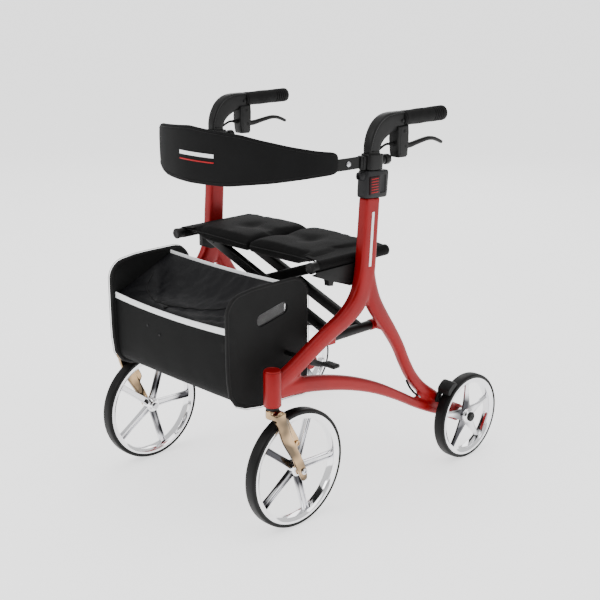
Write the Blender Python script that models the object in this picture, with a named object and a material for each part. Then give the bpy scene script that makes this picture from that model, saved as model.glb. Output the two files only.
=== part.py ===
"""Four-wheeled rollator walker with a side-to-side scissor fold.

Metres, +Z up.  The user walks behind it facing -Y; the left side is +X.
The origin is the middle of the footprint, on the floor.
"""

import math

import bmesh
import bpy
from mathutils import Matrix, Vector

# Running clearance between two pieces that touch.
GAP = 0.0003

# Wheels
FRONT_RADIUS = 0.125
REAR_RADIUS = 0.100
TYRE_WIDTH = 0.027
TYRE_DEPTH = 0.008
RIM_DEPTH = 0.009
FRONT_TRACK = 0.239
REAR_TRACK = 0.274
FRONT_AXLE_Y = -0.2455
REAR_AXLE_Y = 0.2705
AXLE_RADIUS = 0.004
STUB_RADIUS = 0.005
SPOKES = 5
WHEEL_SIDES = 24

# Caster
CASTER_TRAIL = 0.060
SWIVEL_Y = FRONT_AXLE_Y - CASTER_TRAIL
HEAD_LOW = 0.275
HEAD_HIGH = 0.347
HEAD_RADIUS = 0.0175
STEM_RADIUS = 0.006
FORK_OUT = 0.0205
FORK_THICK = 0.012
HUB_IN = 0.017

# Side frames and the posts that slide in them
FRAME_X = 0.240
FRAME_WIDTH = 0.025
UPRIGHT_TOP = 0.650
UPRIGHT_TOP_Y = -0.0355
UPRIGHT_LEAN = 0.068
POST_DEPTH = 0.034
POST_WIDTH = 0.019
POST_FOOT = 0.482
COLLAR_OFFSET = 0.0009
GRIP_Z = 0.800
GRIP_RADIUS = 0.016

# Scissor brace
PIVOT_X = 0.212
PIVOT_Z = 0.365
RAIL_Z = 0.522
RAIL_RADIUS = 0.0115
RAIL_FRONT = -0.178
RAIL_REAR = 0.050
BAR_DEPTH = 0.016
BAR_HEIGHT = 0.022
BARREL_FRONT = -0.122
BARREL_REAR = 0.002
LUG_LENGTH = 0.026
TRUNNION_RADIUS = 0.005
CENTRE_Z = (PIVOT_Z + RAIL_Z) / 2
ARM_BARS = {"brace_arm_left": (-0.105, -0.030), "brace_arm_right": (-0.083, -0.008)}
PIN_RADIUS = 0.0075
SPACER_RADIUS = 0.010

# Seat
SEAT_FRONT = -0.158
SEAT_REAR = 0.044
SEAT_LOW = 0.513
SEAT_HIGH = 0.540

# Bag
PANEL_IN = 0.183
PANEL_OUT = 0.191
BAG_WALL = 0.004
LID_HINGE = (-0.2215, 0.4895)

# Backrest: half an ellipse in plan
BACK_HALF_WIDTH = 0.2385
BACK_END_Y = -0.100
BACK_BOW = 0.200
BACK_THICK = 0.008

# Brake lever and shoe
LEVER_PIVOT = (0.056, 0.744)
SHOE_PIVOT = (0.190, 0.157)

RED = ("satin_red", (0.45, 0.018, 0.025), 0.32, 0.55)
BLACK = ("matt_black", (0.015, 0.015, 0.016), 0.55, 0.0)
GREY = ("dark_grey", (0.055, 0.055, 0.06), 0.5, 0.0)
CHROME = ("chrome", (0.82, 0.82, 0.84), 0.08, 1.0)
STEEL = ("steel", (0.6, 0.6, 0.62), 0.3, 1.0)
RUBBER = ("rubber", (0.012, 0.012, 0.013), 0.75, 0.0)
FABRIC = ("fabric", (0.02, 0.02, 0.021), 0.9, 0.0)


def clear_scene():
    for obj in list(bpy.data.objects):
        bpy.data.objects.remove(obj, do_unlink=True)


def material(finish):
    name, colour, roughness, metallic = finish
    found = bpy.data.materials.get(name)
    if found:
        return found
    made = bpy.data.materials.new(name)
    made.use_nodes = True
    shader = made.node_tree.nodes["Principled BSDF"]
    shader.inputs["Base Color"].default_value = (*colour, 1.0)
    shader.inputs["Roughness"].default_value = roughness
    shader.inputs["Metallic"].default_value = metallic
    return made


def to_object(name, bm, finish):
    """Turn a finished bmesh into an object with outward faces and its material."""
    bmesh.ops.recalc_face_normals(bm, faces=bm.faces)
    mesh = bpy.data.meshes.new(name)
    bm.to_mesh(mesh)
    bm.free()
    mesh.materials.append(material(finish))
    obj = bpy.data.objects.new(name, mesh)
    bpy.context.collection.objects.link(obj)
    return obj


def skin(name, rings, finish):
    """Close a solid over rings that have the same number of points."""
    bm = bmesh.new()
    loops = [[bm.verts.new(point) for point in ring] for ring in rings]
    count = len(rings[0])
    for low, high in zip(loops, loops[1:]):
        for i in range(count):
            j = (i + 1) % count
            bm.faces.new((low[i], low[j], high[j], high[i]))
    bm.faces.new(list(reversed(loops[0])))
    bm.faces.new(loops[-1])
    return to_object(name, bm, finish)


def smooth_stations(stations, per_span):
    """Read extra stations from a Catmull-Rom curve through the given ones."""
    points = [stations[0]] + list(stations) + [stations[-1]]
    result = []
    for a, b, c, d in zip(points, points[1:], points[2:], points[3:]):
        for step in range(per_span):
            t = step / per_span
            result.append([
                0.5 * (2 * q + (r - p) * t + (2 * p - 5 * q + 4 * r - s) * t * t + (3 * q - p - 3 * r + s) * t ** 3)
                for p, q, r, s in zip(a, b, c, d)
            ])
    result.append(list(stations[-1]))
    return result


def oval(x, y, z, across, depth, width, sides, squareness):
    """Ring of points round (x, y, z): depth along the YZ direction across, width along X."""
    ring = []
    for i in range(sides):
        angle = 2 * math.pi * (i + 0.5) / sides
        c = math.cos(angle)
        s = math.sin(angle)
        u = math.copysign(abs(c) ** (2 / squareness), c) * depth / 2
        v = math.copysign(abs(s) ** (2 / squareness), s) * width / 2
        ring.append((x + v, y + across[0] * u, z + across[1] * u))
    return ring


def limb(name, x, stations, finish, sides=8, squareness=2.6, per_span=1):
    """Tube of changing oval section along stations (y, z, depth, width) in the plane at x."""
    path = smooth_stations(stations, per_span)
    rings = []
    for i, (y, z, depth, width) in enumerate(path):
        before = path[max(i - 1, 0)]
        after = path[min(i + 1, len(path) - 1)]
        along = Vector((after[0] - before[0], after[1] - before[1])).normalized()
        rings.append(oval(x, y, z, (-along.y, along.x), depth, width, sides, squareness))
    return skin(name, rings, finish)


def rod(name, start, end, radius, finish, sides=14):
    start = Vector(start)
    end = Vector(end)
    turn = (end - start).to_track_quat("Z", "Y")
    rings = []
    for centre in (start, end):
        rings.append([
            centre + turn @ Vector((radius * math.cos(a), radius * math.sin(a), 0))
            for a in (2 * math.pi * i / sides for i in range(sides))
        ])
    return skin(name, rings, finish)


def turned(name, origin, axis, profile, finish, sides=24, ring=False):
    """Turn (distance along axis, radius) points; a ring joins the last point to the first."""
    origin = Vector(origin)
    turn = Vector(axis).to_track_quat("Z", "Y")
    bm = bmesh.new()
    columns = []
    for distance, radius in profile:
        if radius == 0:
            columns.append([bm.verts.new(origin + turn @ Vector((0, 0, distance)))])
            continue
        columns.append([
            bm.verts.new(origin + turn @ Vector((radius * math.cos(a), radius * math.sin(a), distance)))
            for a in (2 * math.pi * i / sides for i in range(sides))
        ])
    pairs = list(zip(columns, columns[1:]))
    if ring:
        pairs.append((columns[-1], columns[0]))
    for low, high in pairs:
        for i in range(sides):
            j = (i + 1) % sides
            corners = [low[i % len(low)], low[j % len(low)], high[j % len(high)], high[i % len(high)]]
            unique = list(dict.fromkeys(corners))
            bm.faces.new(unique)
    return to_object(name, bm, finish)


def block(name, low, high, finish, bevel=0.0):
    bm = bmesh.new()
    bmesh.ops.create_cube(bm, size=1.0)
    low = Vector(low)
    high = Vector(high)
    size = Vector((abs(high.x - low.x), abs(high.y - low.y), abs(high.z - low.z)))
    bmesh.ops.transform(bm, matrix=Matrix.Diagonal((*size, 1)), verts=bm.verts)
    bmesh.ops.translate(bm, vec=(low + high) / 2, verts=bm.verts)
    if bevel:
        bmesh.ops.bevel(bm, geom=bm.edges[:], offset=bevel, segments=2, profile=0.5, affect="EDGES")
    return to_object(name, bm, finish)


def plate(name, x_low, x_high, outline, finish):
    """Flat plate with a (y, z) outline between two X planes."""
    rings = [[(x, y, z) for y, z in outline] for x in (x_low, x_high)]
    return skin(name, rings, finish)


def arc(centre, radius, start, end, steps):
    """Points on a circle in (y, z); angles in degrees from +Y towards +Z."""
    points = []
    for i in range(steps + 1):
        angle = math.radians(start + (end - start) * i / steps)
        points.append((centre[0] + radius * math.cos(angle), centre[1] + radius * math.sin(angle)))
    return points


def combine(operation, target, tools):
    """Apply one exact Boolean per tool and remove the tools."""
    for tool in tools:
        modifier = target.modifiers.new("combine", "BOOLEAN")
        modifier.operation = operation
        modifier.solver = "EXACT"
        modifier.object = tool
    evaluated = target.evaluated_get(bpy.context.evaluated_depsgraph_get())
    mesh = bpy.data.meshes.new_from_object(evaluated)
    target.modifiers.clear()
    bm = bmesh.new()
    bm.from_mesh(mesh)
    bmesh.ops.remove_doubles(bm, verts=bm.verts, dist=0.00002)
    bmesh.ops.dissolve_degenerate(bm, edges=bm.edges, dist=0.00001)
    bm.to_mesh(mesh)
    bm.free()
    target.data = mesh
    for tool in tools:
        bpy.data.objects.remove(tool, do_unlink=True)
    return target


def fuse(target, *tools):
    return combine("UNION", target, tools)


def cut(target, *tools):
    return combine("DIFFERENCE", target, tools)


def post_y(z):
    """Y of the leaning upright's and post's axis at a height."""
    return UPRIGHT_TOP_Y + UPRIGHT_LEAN * (z - UPRIGHT_TOP)


def post_core(x, low, high, clearance):
    """Straight oval bar on the post's axis, used to cut what the post slides in."""
    stations = [(post_y(z), z, POST_DEPTH + 2 * clearance, POST_WIDTH + 2 * clearance) for z in (low, high)]
    return limb("post_core", x, stations, BLACK, sides=12, squareness=3.2)


def side_frame(name, s):
    x = s * FRAME_X
    upright = [
        (post_y(0.650), 0.650, 0.041, 0.0250),
        (post_y(0.600), 0.600, 0.041, 0.0250),
        (post_y(0.550), 0.550, 0.042, 0.0255),
        (post_y(0.505), 0.505, 0.044, 0.0260),
        (-0.053, 0.468, 0.047, 0.0260),
        (-0.071, 0.436, 0.047, 0.0260),
        (-0.104, 0.411, 0.040, 0.0260),
        (-0.148, 0.391, 0.035, 0.0260),
        (-0.198, 0.366, 0.034, 0.0260),
        (-0.250, 0.338, 0.034, 0.0260),
        (SWIVEL_Y, 0.312, 0.034, 0.0260),
    ]
    rear_leg = [
        (-0.044, 0.512, 0.038, 0.0240),
        (-0.036, 0.468, 0.040, 0.0250),
        (-0.019, 0.427, 0.037, 0.0250),
        (0.007, 0.389, 0.033, 0.0245),
        (0.036, 0.351, 0.029, 0.0240),
        (0.063, 0.311, 0.026, 0.0240),
        (0.085, 0.270, 0.025, 0.0240),
        (0.109, 0.232, 0.025, 0.0240),
        (0.142, 0.196, 0.026, 0.0240),
        (0.188, 0.161, 0.028, 0.0240),
        (0.234, 0.126, 0.030, 0.0240),
        (REAR_AXLE_Y, REAR_RADIUS, 0.032, 0.0240),
    ]
    lower_tube = [
        (SWIVEL_Y, 0.303, 0.033, 0.0250),
        (-0.230, 0.299, 0.034, 0.0250),
        (-0.155, 0.284, 0.033, 0.0250),
        (-0.080, 0.262, 0.030, 0.0245),
        (-0.005, 0.232, 0.026, 0.0240),
        (0.070, 0.193, 0.022, 0.0235),
        (0.130, 0.159, 0.021, 0.0235),
        (0.190, 0.131, 0.024, 0.0235),
        (REAR_AXLE_Y, REAR_RADIUS, 0.028, 0.0235),
    ]
    frame = limb(name, x, upright, RED, sides=10, squareness=3.0)
    leg = limb("leg", x, rear_leg, RED, sides=10)
    tube = limb("tube", x, lower_tube, RED, sides=10)
    head = rod("head", (s * FRONT_TRACK, SWIVEL_Y, HEAD_LOW), (s * FRONT_TRACK, SWIVEL_Y, HEAD_HIGH),
               HEAD_RADIUS, RED, 18)
    boss = rod("boss", (s * 0.2275, REAR_AXLE_Y, REAR_RADIUS), (s * 0.2525, REAR_AXLE_Y, REAR_RADIUS),
               0.0195, RED, 18)
    lugs = []
    for y_low in (BARREL_FRONT - LUG_LENGTH - 0.0005, BARREL_REAR + 0.0005):
        y_high = y_low + LUG_LENGTH
        lugs.append(rod("lug", (s * PIVOT_X, y_low, PIVOT_Z), (s * PIVOT_X, y_high, PIVOT_Z), 0.0115, RED, 12))
        lugs.append(block("web", (s * PIVOT_X, y_low + 0.001, PIVOT_Z - 0.007),
                          (s * (FRAME_X - 0.004), y_high - 0.001, PIVOT_Z + 0.013), RED))
    studs = []
    for y, z in ((-0.222, 0.353), (-0.205, 0.294)):
        studs.append(rod("stud", (s * (PANEL_OUT + GAP), y, z), (s * (FRAME_X - 0.003), y, z), 0.006, RED, 8))
    fuse(frame, leg, tube, head, boss, *lugs, *studs)
    bores = [
        post_core(x, POST_FOOT - 0.004, UPRIGHT_TOP + 0.02, 0.0004),
        rod("stem_bore", (s * FRONT_TRACK, SWIVEL_Y, HEAD_LOW - 0.01), (s * FRONT_TRACK, SWIVEL_Y, 0.337),
            STEM_RADIUS + GAP, RED, 12),
        rod("axle_bore", (s * 0.20, REAR_AXLE_Y, REAR_RADIUS), (s * 0.27, REAR_AXLE_Y, REAR_RADIUS),
            STUB_RADIUS + GAP, RED, 12),
        rod("trunnion_bore", (s * PIVOT_X, -0.2, PIVOT_Z), (s * PIVOT_X, 0.1, PIVOT_Z),
            TRUNNION_RADIUS + GAP, RED, 12),
        rod("shoe_bore", (s * 0.244, *SHOE_PIVOT), (s * 0.27, *SHOE_PIVOT), 0.0033, RED, 12),
    ]
    return cut(frame, *bores)


def wheel(name, s, x, y, radius, hub_low, hub_high, bore, hub_radius, spoke_root, spoke_tip, spoke_thick, phase):
    """One-piece rim, spokes and hub; hub faces are measured outward from the wheel's middle plane."""
    centre = (s * x, y, radius)
    outward = (s, 0, 0)
    outer = radius - TYRE_DEPTH - GAP
    inner = outer - RIM_DEPTH
    half = TYRE_WIDTH / 2 - 0.0015
    rim = turned(name, centre, outward, [
        (-half, outer), (half, outer), (half - 0.001, inner), (-half + 0.001, inner),
    ], CHROME, sides=WHEEL_SIDES, ring=True)
    hub = turned("hub", centre, outward, [
        (hub_low, bore), (hub_low, hub_radius), (hub_high - 0.002, hub_radius),
        (hub_high, hub_radius - 0.002), (hub_high, bore),
    ], CHROME, sides=12, ring=True)
    spokes = []
    for i in range(SPOKES):
        angle = 2 * math.pi * (i + phase) / SPOKES
        along = Vector((0, math.cos(angle), math.sin(angle)))
        sideways = Vector((0, -math.sin(angle), math.cos(angle)))
        rings = []
        for reach, width in ((hub_radius - 0.003, spoke_root), (inner + 0.004, spoke_tip)):
            point = Vector(centre) + along * reach
            rings.append([
                point + sideways * (u * width / 2) + Vector((s * v * spoke_thick / 2, 0, 0))
                for u, v in ((-1, -1), (1, -1), (1, 0.4), (0.5, 1), (-0.5, 1), (-1, 0.4))
            ])
        spokes.append(skin("spoke", rings, CHROME))
    return fuse(rim, hub, *spokes)


def tyre(name, s, x, y, radius):
    half = TYRE_WIDTH / 2
    inner = radius - TYRE_DEPTH
    return turned(name, (s * x, y, radius), (s, 0, 0), [
        (-half + 0.001, inner), (half - 0.001, inner), (half, inner + 0.0045),
        (half - 0.006, radius), (-half + 0.006, radius), (-half, inner + 0.0045),
    ], RUBBER, sides=WHEEL_SIDES, ring=True)


def caster(side, s):
    """One-armed fork, stem and axle; the arm stands on the wheel's outer side."""
    x = s * FRONT_TRACK
    fork = rod(side + "_caster_fork", (x, SWIVEL_Y, 0.2500), (x, SWIVEL_Y, HEAD_LOW - 0.0005), 0.0150, CHROME, 16)
    bridge = block("bridge", (x - s * 0.0105, SWIVEL_Y - 0.013, 0.2495),
                   (x + s * (FORK_OUT + FORK_THICK / 2 - 0.0003), SWIVEL_Y + 0.014, 0.2640), CHROME, 0.003)
    arm = limb("arm", x + s * FORK_OUT, [
        (SWIVEL_Y, 0.262, 0.025, FORK_THICK),
        (SWIVEL_Y + 0.006, 0.238, 0.026, FORK_THICK),
        (SWIVEL_Y + 0.021, 0.200, 0.024, FORK_THICK),
        (SWIVEL_Y + 0.042, 0.163, 0.021, FORK_THICK),
        (FRONT_AXLE_Y, FRONT_RADIUS, 0.020, FORK_THICK),
        (FRONT_AXLE_Y + 0.006, FRONT_RADIUS - 0.020, 0.014, FORK_THICK - 0.002),
    ], CHROME)
    fuse(fork, bridge, arm)
    cut(fork,
        rod("bore", (x, SWIVEL_Y, 0.24), (x, SWIVEL_Y, 0.29), STEM_RADIUS + GAP, CHROME, 12),
        rod("bore", (x, FRONT_AXLE_Y, FRONT_RADIUS), (x + s * 0.04, FRONT_AXLE_Y, FRONT_RADIUS),
            AXLE_RADIUS + GAP, CHROME, 12))
    stem = rod(side + "_caster_stem", (x, SWIVEL_Y, 0.2510), (x, SWIVEL_Y, 0.335), STEM_RADIUS, STEEL, 12)
    inner = -HUB_IN - 0.0005
    outer = FORK_OUT + FORK_THICK / 2 + 0.0005
    axle = turned(side + "_front_axle", (x, FRONT_AXLE_Y, FRONT_RADIUS), (s, 0, 0), [
        (inner - 0.0035, 0), (inner - 0.0035, 0.0065), (inner, 0.0065), (inner, AXLE_RADIUS),
        (outer, AXLE_RADIUS), (outer, 0.0065), (outer + 0.0035, 0.0065), (outer + 0.0035, 0),
    ], STEEL, sides=12)
    return [fork, stem, axle]


def front_wheel(side, s):
    rim = wheel(side + "_front_wheel", s, FRONT_TRACK, FRONT_AXLE_Y, FRONT_RADIUS, -HUB_IN,
                FORK_OUT - FORK_THICK / 2 - 0.0005, AXLE_RADIUS + GAP, 0.015, 0.015, 0.013, 0.008, 0.0)
    return [rim, tyre(side + "_front_tyre", s, FRONT_TRACK, FRONT_AXLE_Y, FRONT_RADIUS)]


def rear_wheel(side, s):
    rim = wheel(side + "_rear_wheel", s, REAR_TRACK, REAR_AXLE_Y, REAR_RADIUS, -0.0205, 0.0145,
                STUB_RADIUS + GAP, 0.017, 0.022, 0.009, 0.009, 0.25)
    return [rim, tyre(side + "_rear_tyre", s, REAR_TRACK, REAR_AXLE_Y, REAR_RADIUS)]


def rear_axle(side, s):
    return turned(side + "_rear_axle", (s * REAR_TRACK, REAR_AXLE_Y, REAR_RADIUS), (s, 0, 0), [
        (-0.046, 0), (-0.046, STUB_RADIUS), (0.0148, STUB_RADIUS), (0.0148, 0.0105), (0.0185, 0.0105),
        (0.0205, 0.008), (0.0205, 0),
    ], BLACK, sides=12)


def brake_shoe(side, s):
    """Arm beside the frame end with a pad that hangs over the rear tyre."""
    y, z = SHOE_PIVOT
    arm = limb(side + "_brake_shoe", s * 0.2563, [
        (y - 0.003, z - 0.007, 0.016, 0.0052), (y + 0.004, z + 0.009, 0.016, 0.0052),
        (y + 0.013, z + 0.029, 0.017, 0.0052), (y + 0.016, z + 0.036, 0.012, 0.0052),
    ], BLACK)
    angle = math.radians(128)
    outward = Vector((0, math.cos(angle), math.sin(angle)))
    around = Vector((0, -outward.z, outward.y))
    centre = Vector((0, REAR_AXLE_Y, REAR_RADIUS)) + outward * 0.109
    rings = []
    for x in (0.2540, 0.2860):
        rings.append([
            centre + outward * (u * 0.008) + around * (v * 0.017) + Vector((s * x, 0, 0))
            for u, v in ((-1, -1), (0.3, -1), (1, -0.5), (1, 0.5), (0.3, 1), (-1, 1))
        ])
    pad = skin("pad", rings, BLACK)
    pin = rod("pin", (s * 0.2455, y, z), (s * 0.256, y, z), 0.003, BLACK, 12)
    fuse(arm, pad, pin)
    return cut(arm, rod("tread", (s * 0.2601, REAR_AXLE_Y, REAR_RADIUS), (s * 0.30, REAR_AXLE_Y, REAR_RADIUS),
                        REAR_RADIUS + 0.0038, BLACK, 64))


def kerb_pedal(side, s):
    """Foot lever that helps the user tip the front wheels over a kerb."""
    arm = limb(side + "_kerb_pedal", s * 0.2215, [
        (REAR_AXLE_Y - 0.012, REAR_RADIUS + 0.006, 0.018, 0.0085),
        (REAR_AXLE_Y + 0.008, REAR_RADIUS - 0.003, 0.018, 0.0085),
        (REAR_AXLE_Y + 0.030, REAR_RADIUS - 0.012, 0.015, 0.0085),
        (REAR_AXLE_Y + 0.050, REAR_RADIUS - 0.014, 0.012, 0.0085),
    ], BLACK)
    tread = block("tread", (s * 0.183, REAR_AXLE_Y + 0.036, REAR_RADIUS - 0.020),
                  (s * 0.2255, REAR_AXLE_Y + 0.062, REAR_RADIUS - 0.008), BLACK, 0.003)
    return fuse(arm, tread)


def lower_cable(side, s):
    stations = [(0.0965, 0.2215, 0.005, 0.005), (0.1085, 0.2025, 0.005, 0.005),
                (0.1230, 0.1865, 0.005, 0.005), (0.1360, 0.1757, 0.005, 0.005)]
    return limb(side + "_brake_cable_lower", s * FRAME_X, stations, BLACK, sides=6, squareness=2.0, per_span=2)


def cable_adjuster(side, s):
    x = s * FRAME_X
    start = Vector((x, 0.1368, 0.1751))
    end = Vector((x, 0.1470, 0.1672))
    along = (end - start).normalized()
    return turned(side + "_cable_adjuster", start, along, [
        (0, 0), (0, 0.0028), (0.003, 0.0028), (0.003, 0.0040), (0.009, 0.0040), (0.009, 0.0030),
        (0.0125, 0.0030), (0.0125, 0),
    ], STEEL, sides=12)


def handle(side, s):
    """Sliding post, curved neck, grip core and what is clamped to them."""
    x = s * FRAME_X
    neck = 0.742
    straight = [(post_y(z), z, POST_DEPTH, POST_WIDTH) for z in (POST_FOOT, 0.60, 0.70, neck)]
    curved = [
        (-0.0255, 0.7630, 0.0360, 0.0195),
        (-0.0150, 0.7800, 0.0370, 0.0200),
        (0.0020, 0.7930, 0.0360, 0.0200),
        (0.0220, 0.8000, 0.0340, 0.0200),
        (0.0440, 0.8010, 0.0330, 0.0200),
        (0.0640, GRIP_Z, 0.0310, 0.0210),
    ]
    post = limb(side + "_handle_post", x, straight + curved, BLACK, sides=12, squareness=3.2)
    core = rod("core", (x, 0.055, GRIP_Z), (x, 0.188, GRIP_Z), 0.011, BLACK, 12)
    fuse(post, core)
    bore = 0.011 + GAP
    grip = turned(side + "_handle_grip", (x, 0, GRIP_Z), (0, 1, 0), [
        (0.200, 0), (0.200, 0.008), (0.197, 0.0135), (0.190, GRIP_RADIUS), (0.072, GRIP_RADIUS),
        (0.0665, 0.0150), (0.0665, bore), (0.1885, bore), (0.1885, 0),
    ], RUBBER, sides=16)
    housing = block(side + "_brake_housing", (x - s * 0.013, 0.0355, 0.7220), (x + s * 0.013, 0.0655, 0.7835),
                    BLACK, 0.003)
    cut(housing,
        block("slot", (x - 0.0048, 0.047, 0.7300), (x + 0.0048, 0.08, 0.7600), BLACK),
        rod("bore", (x - 0.02, *LEVER_PIVOT), (x + 0.02, *LEVER_PIVOT), 0.0025 + GAP, BLACK, 12))
    lever = limb(side + "_brake_lever", x, [
        (0.0500, 0.7440, 0.0080, 0.0080), (0.0640, 0.7440, 0.0100, 0.0080), (0.0850, 0.7415, 0.0090, 0.0085),
        (0.1120, 0.7455, 0.0080, 0.0090), (0.1400, 0.7490, 0.0075, 0.0095), (0.1650, 0.7460, 0.0070, 0.0095),
        (0.1875, 0.7375, 0.0050, 0.0080),
    ], BLACK)
    fuse(lever, rod("pin", (x - 0.011, *LEVER_PIVOT), (x + 0.011, *LEVER_PIVOT), 0.0025, BLACK, 10))
    cable = limb(side + "_brake_cable_upper", x, [
        (0.0338, 0.7490, 0.005, 0.005), (0.0260, 0.7510, 0.005, 0.005), (0.0140, 0.7520, 0.005, 0.005),
        (0.0030, 0.7495, 0.005, 0.005), (-0.0075, 0.7450, 0.005, 0.005),
    ], BLACK, sides=6, squareness=2.0)
    return {"post": post, "grip": grip, "housing": housing, "lever": lever, "cable": cable}


def height_collar(side, s):
    x = s * FRAME_X
    shift = 0.006
    stations = [
        (post_y(0.6503) + shift, 0.6503, 0.064, 0.0290), (post_y(0.654) + shift, 0.654, 0.068, 0.0320),
        (post_y(0.676) + shift, 0.676, 0.070, 0.0326), (post_y(0.700) + shift, 0.700, 0.069, 0.0320),
        (post_y(0.705) + shift, 0.705, 0.065, 0.0290),
    ]
    # It stands out a little, so that the seat rail passes its inner side as the walker folds.
    collar = limb(side + "_height_collar", x + s * COLLAR_OFFSET, stations, GREY, sides=16, squareness=4.0)
    lug = block("lug", (x - 0.009, -0.069, 0.690), (x + 0.009, -0.050, 0.7035), GREY, 0.003)
    fuse(collar, lug)
    cut(collar,
        post_core(x, 0.64, 0.72, 0.0004),
        block("pocket", (x + s * 0.0130, -0.0545, 0.6590), (x + s * 0.03, -0.0255, 0.6950), GREY))
    button = block(side + "_height_button", (x + s * 0.0155, -0.0540, 0.6595), (x + s * 0.0195, -0.0260, 0.6945),
                   GREY, 0.001)
    return collar, button


def backrest_bracket(side, s):
    """Band round the post with an arm to the backrest and a clamp knob behind."""
    x = s * FRAME_X
    low = 0.7065
    high = 0.7375
    middle = (low + high) / 2
    band = limb(side + "_backrest_bracket", x, [
        (post_y(low), low, 0.043, 0.028), (post_y(high), high, 0.043, 0.028),
    ], BLACK, sides=12, squareness=4.0)
    arm = block("arm", (x - 0.0020, -0.1215, 0.7125), (x + 0.0020, -0.045, 0.7365), BLACK, 0.0008)
    rear = rod("rear", (x, -0.012, middle), (x, 0.003, middle), 0.0085, BLACK, 14)
    fuse(band, arm, rear)
    cut(band, post_core(x, 0.69, 0.76, 0.0004),
        rod("bore", (x, -0.020, middle), (x, 0.02, middle), 0.0033, BLACK, 12))
    knob = turned(side + "_backrest_knob", (x, 0, middle), (0, 1, 0), [
        (-0.0120, 0), (-0.0120, 0.003), (0.0035, 0.003), (0.0035, 0.0065), (0.0065, 0.009), (0.0165, 0.009),
        (0.0195, 0.006), (0.0195, 0),
    ], BLACK, sides=12)
    return band, knob


def rail_saddle(side, s):
    """Cradle on the upright that takes the seat rail's weight when the walker is open."""
    inner = s * (PIVOT_X + 0.001)
    outer = s * (FRAME_X - FRAME_WIDTH / 2 - 0.0010)
    outline = [
        (-0.172, 0.5155), (-0.172, 0.5060), (-0.150, 0.4975), (-0.137, 0.4935), (-0.137, 0.4810),
        (-0.124, 0.4790), (-0.124, 0.4890), (-0.075, 0.4700), (-0.030, 0.4680), (-0.030, 0.5155),
    ]
    saddle = plate(side + "_rail_saddle", inner, outer, outline, BLACK)
    return cut(saddle, rod("rail_seat", (s * PIVOT_X, -0.3, RAIL_Z), (s * PIVOT_X, 0.1, RAIL_Z),
                           RAIL_RADIUS + 0.0025, BLACK, 12))


def seat_rail(side, s):
    x = s * PIVOT_X
    return turned(side + "_seat_rail", (x, 0, RAIL_Z), (0, 1, 0), [
        (RAIL_FRONT, 0.0090), (RAIL_FRONT, RAIL_RADIUS), (RAIL_REAR, RAIL_RADIUS), (RAIL_REAR, 0.0090),
    ], BLACK, sides=12, ring=True)


def brace_arm(name, s):
    """Two bars on a hinge barrel at side s, reaching up to the rail on the other side."""
    foot = Vector((s * PIVOT_X, 0, PIVOT_Z))
    head = Vector((-s * PIVOT_X, 0, RAIL_Z))
    along = (head - foot).normalized()
    up = Vector((-along.z, 0, along.x)) * s
    barrel = turned(name, (foot.x, 0, foot.z), (0, 1, 0), [
        (BARREL_FRONT - 0.022, 0), (BARREL_FRONT - 0.022, TRUNNION_RADIUS), (BARREL_FRONT, TRUNNION_RADIUS),
        (BARREL_FRONT, 0.0105), (BARREL_REAR, 0.0105), (BARREL_REAR, TRUNNION_RADIUS),
        (BARREL_REAR + 0.022, TRUNNION_RADIUS), (BARREL_REAR + 0.022, 0),
    ], BLACK, sides=12)
    bars = []
    for y in ARM_BARS[name]:
        rings = []
        for end in (foot, head - along * 0.002):
            rings.append([
                end + up * (v * BAR_HEIGHT / 2) + Vector((0, y + u * BAR_DEPTH / 2, 0))
                for u, v in ((-1, -0.8), (-0.8, -1), (0.8, -1), (1, -0.8), (1, 0.8), (0.8, 1), (-0.8, 1), (-1, 0.8))
            ])
        bars.append(skin("bar", rings, BLACK))
    fuse(barrel, *bars)
    return cut(barrel,
               rod("rail", (head.x, -0.3, head.z), (head.x, 0.2, head.z), RAIL_RADIUS + GAP, BLACK, 12),
               rod("pin", (0, -0.3, CENTRE_Z), (0, 0.2, CENTRE_Z), PIN_RADIUS + GAP, BLACK, 12))


def brace_pivot():
    """Stepped centre pin: thin inside the bars, a wide spacer tube between them."""
    faces = []
    for y in sorted(y for bars in ARM_BARS.values() for y in bars):
        faces.append((y - BAR_DEPTH / 2 - GAP, y + BAR_DEPTH / 2 + GAP))
    profile = [(-0.127, 0), (-0.127, SPACER_RADIUS)]
    for low, high in faces:
        profile += [(low, SPACER_RADIUS), (low, PIN_RADIUS), (high, PIN_RADIUS), (high, SPACER_RADIUS)]
    profile += [(0.028, SPACER_RADIUS), (0.028, 0)]
    return turned("brace_pivot", (0, 0, CENTRE_Z), (0, 1, 0), profile, BLACK, sides=12)


def seat_pad(side, s):
    """Half of the seat, thinned over the ends of the brace bars that carry its rail."""
    reach = PIVOT_X - RAIL_RADIUS - 0.002
    outline = [
        (0.001, SEAT_LOW), (reach - 0.0425, SEAT_LOW + 0.001), (reach, 0.530), (reach, SEAT_HIGH - 0.003),
        (reach - 0.004, SEAT_HIGH), (0.004, SEAT_HIGH), (0.001, SEAT_HIGH - 0.003),
    ]
    rings = [[(s * x, y, z) for x, z in outline] for y in (SEAT_FRONT, SEAT_REAR)]
    return skin(side + "_seat_pad", rings, FABRIC)


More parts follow.
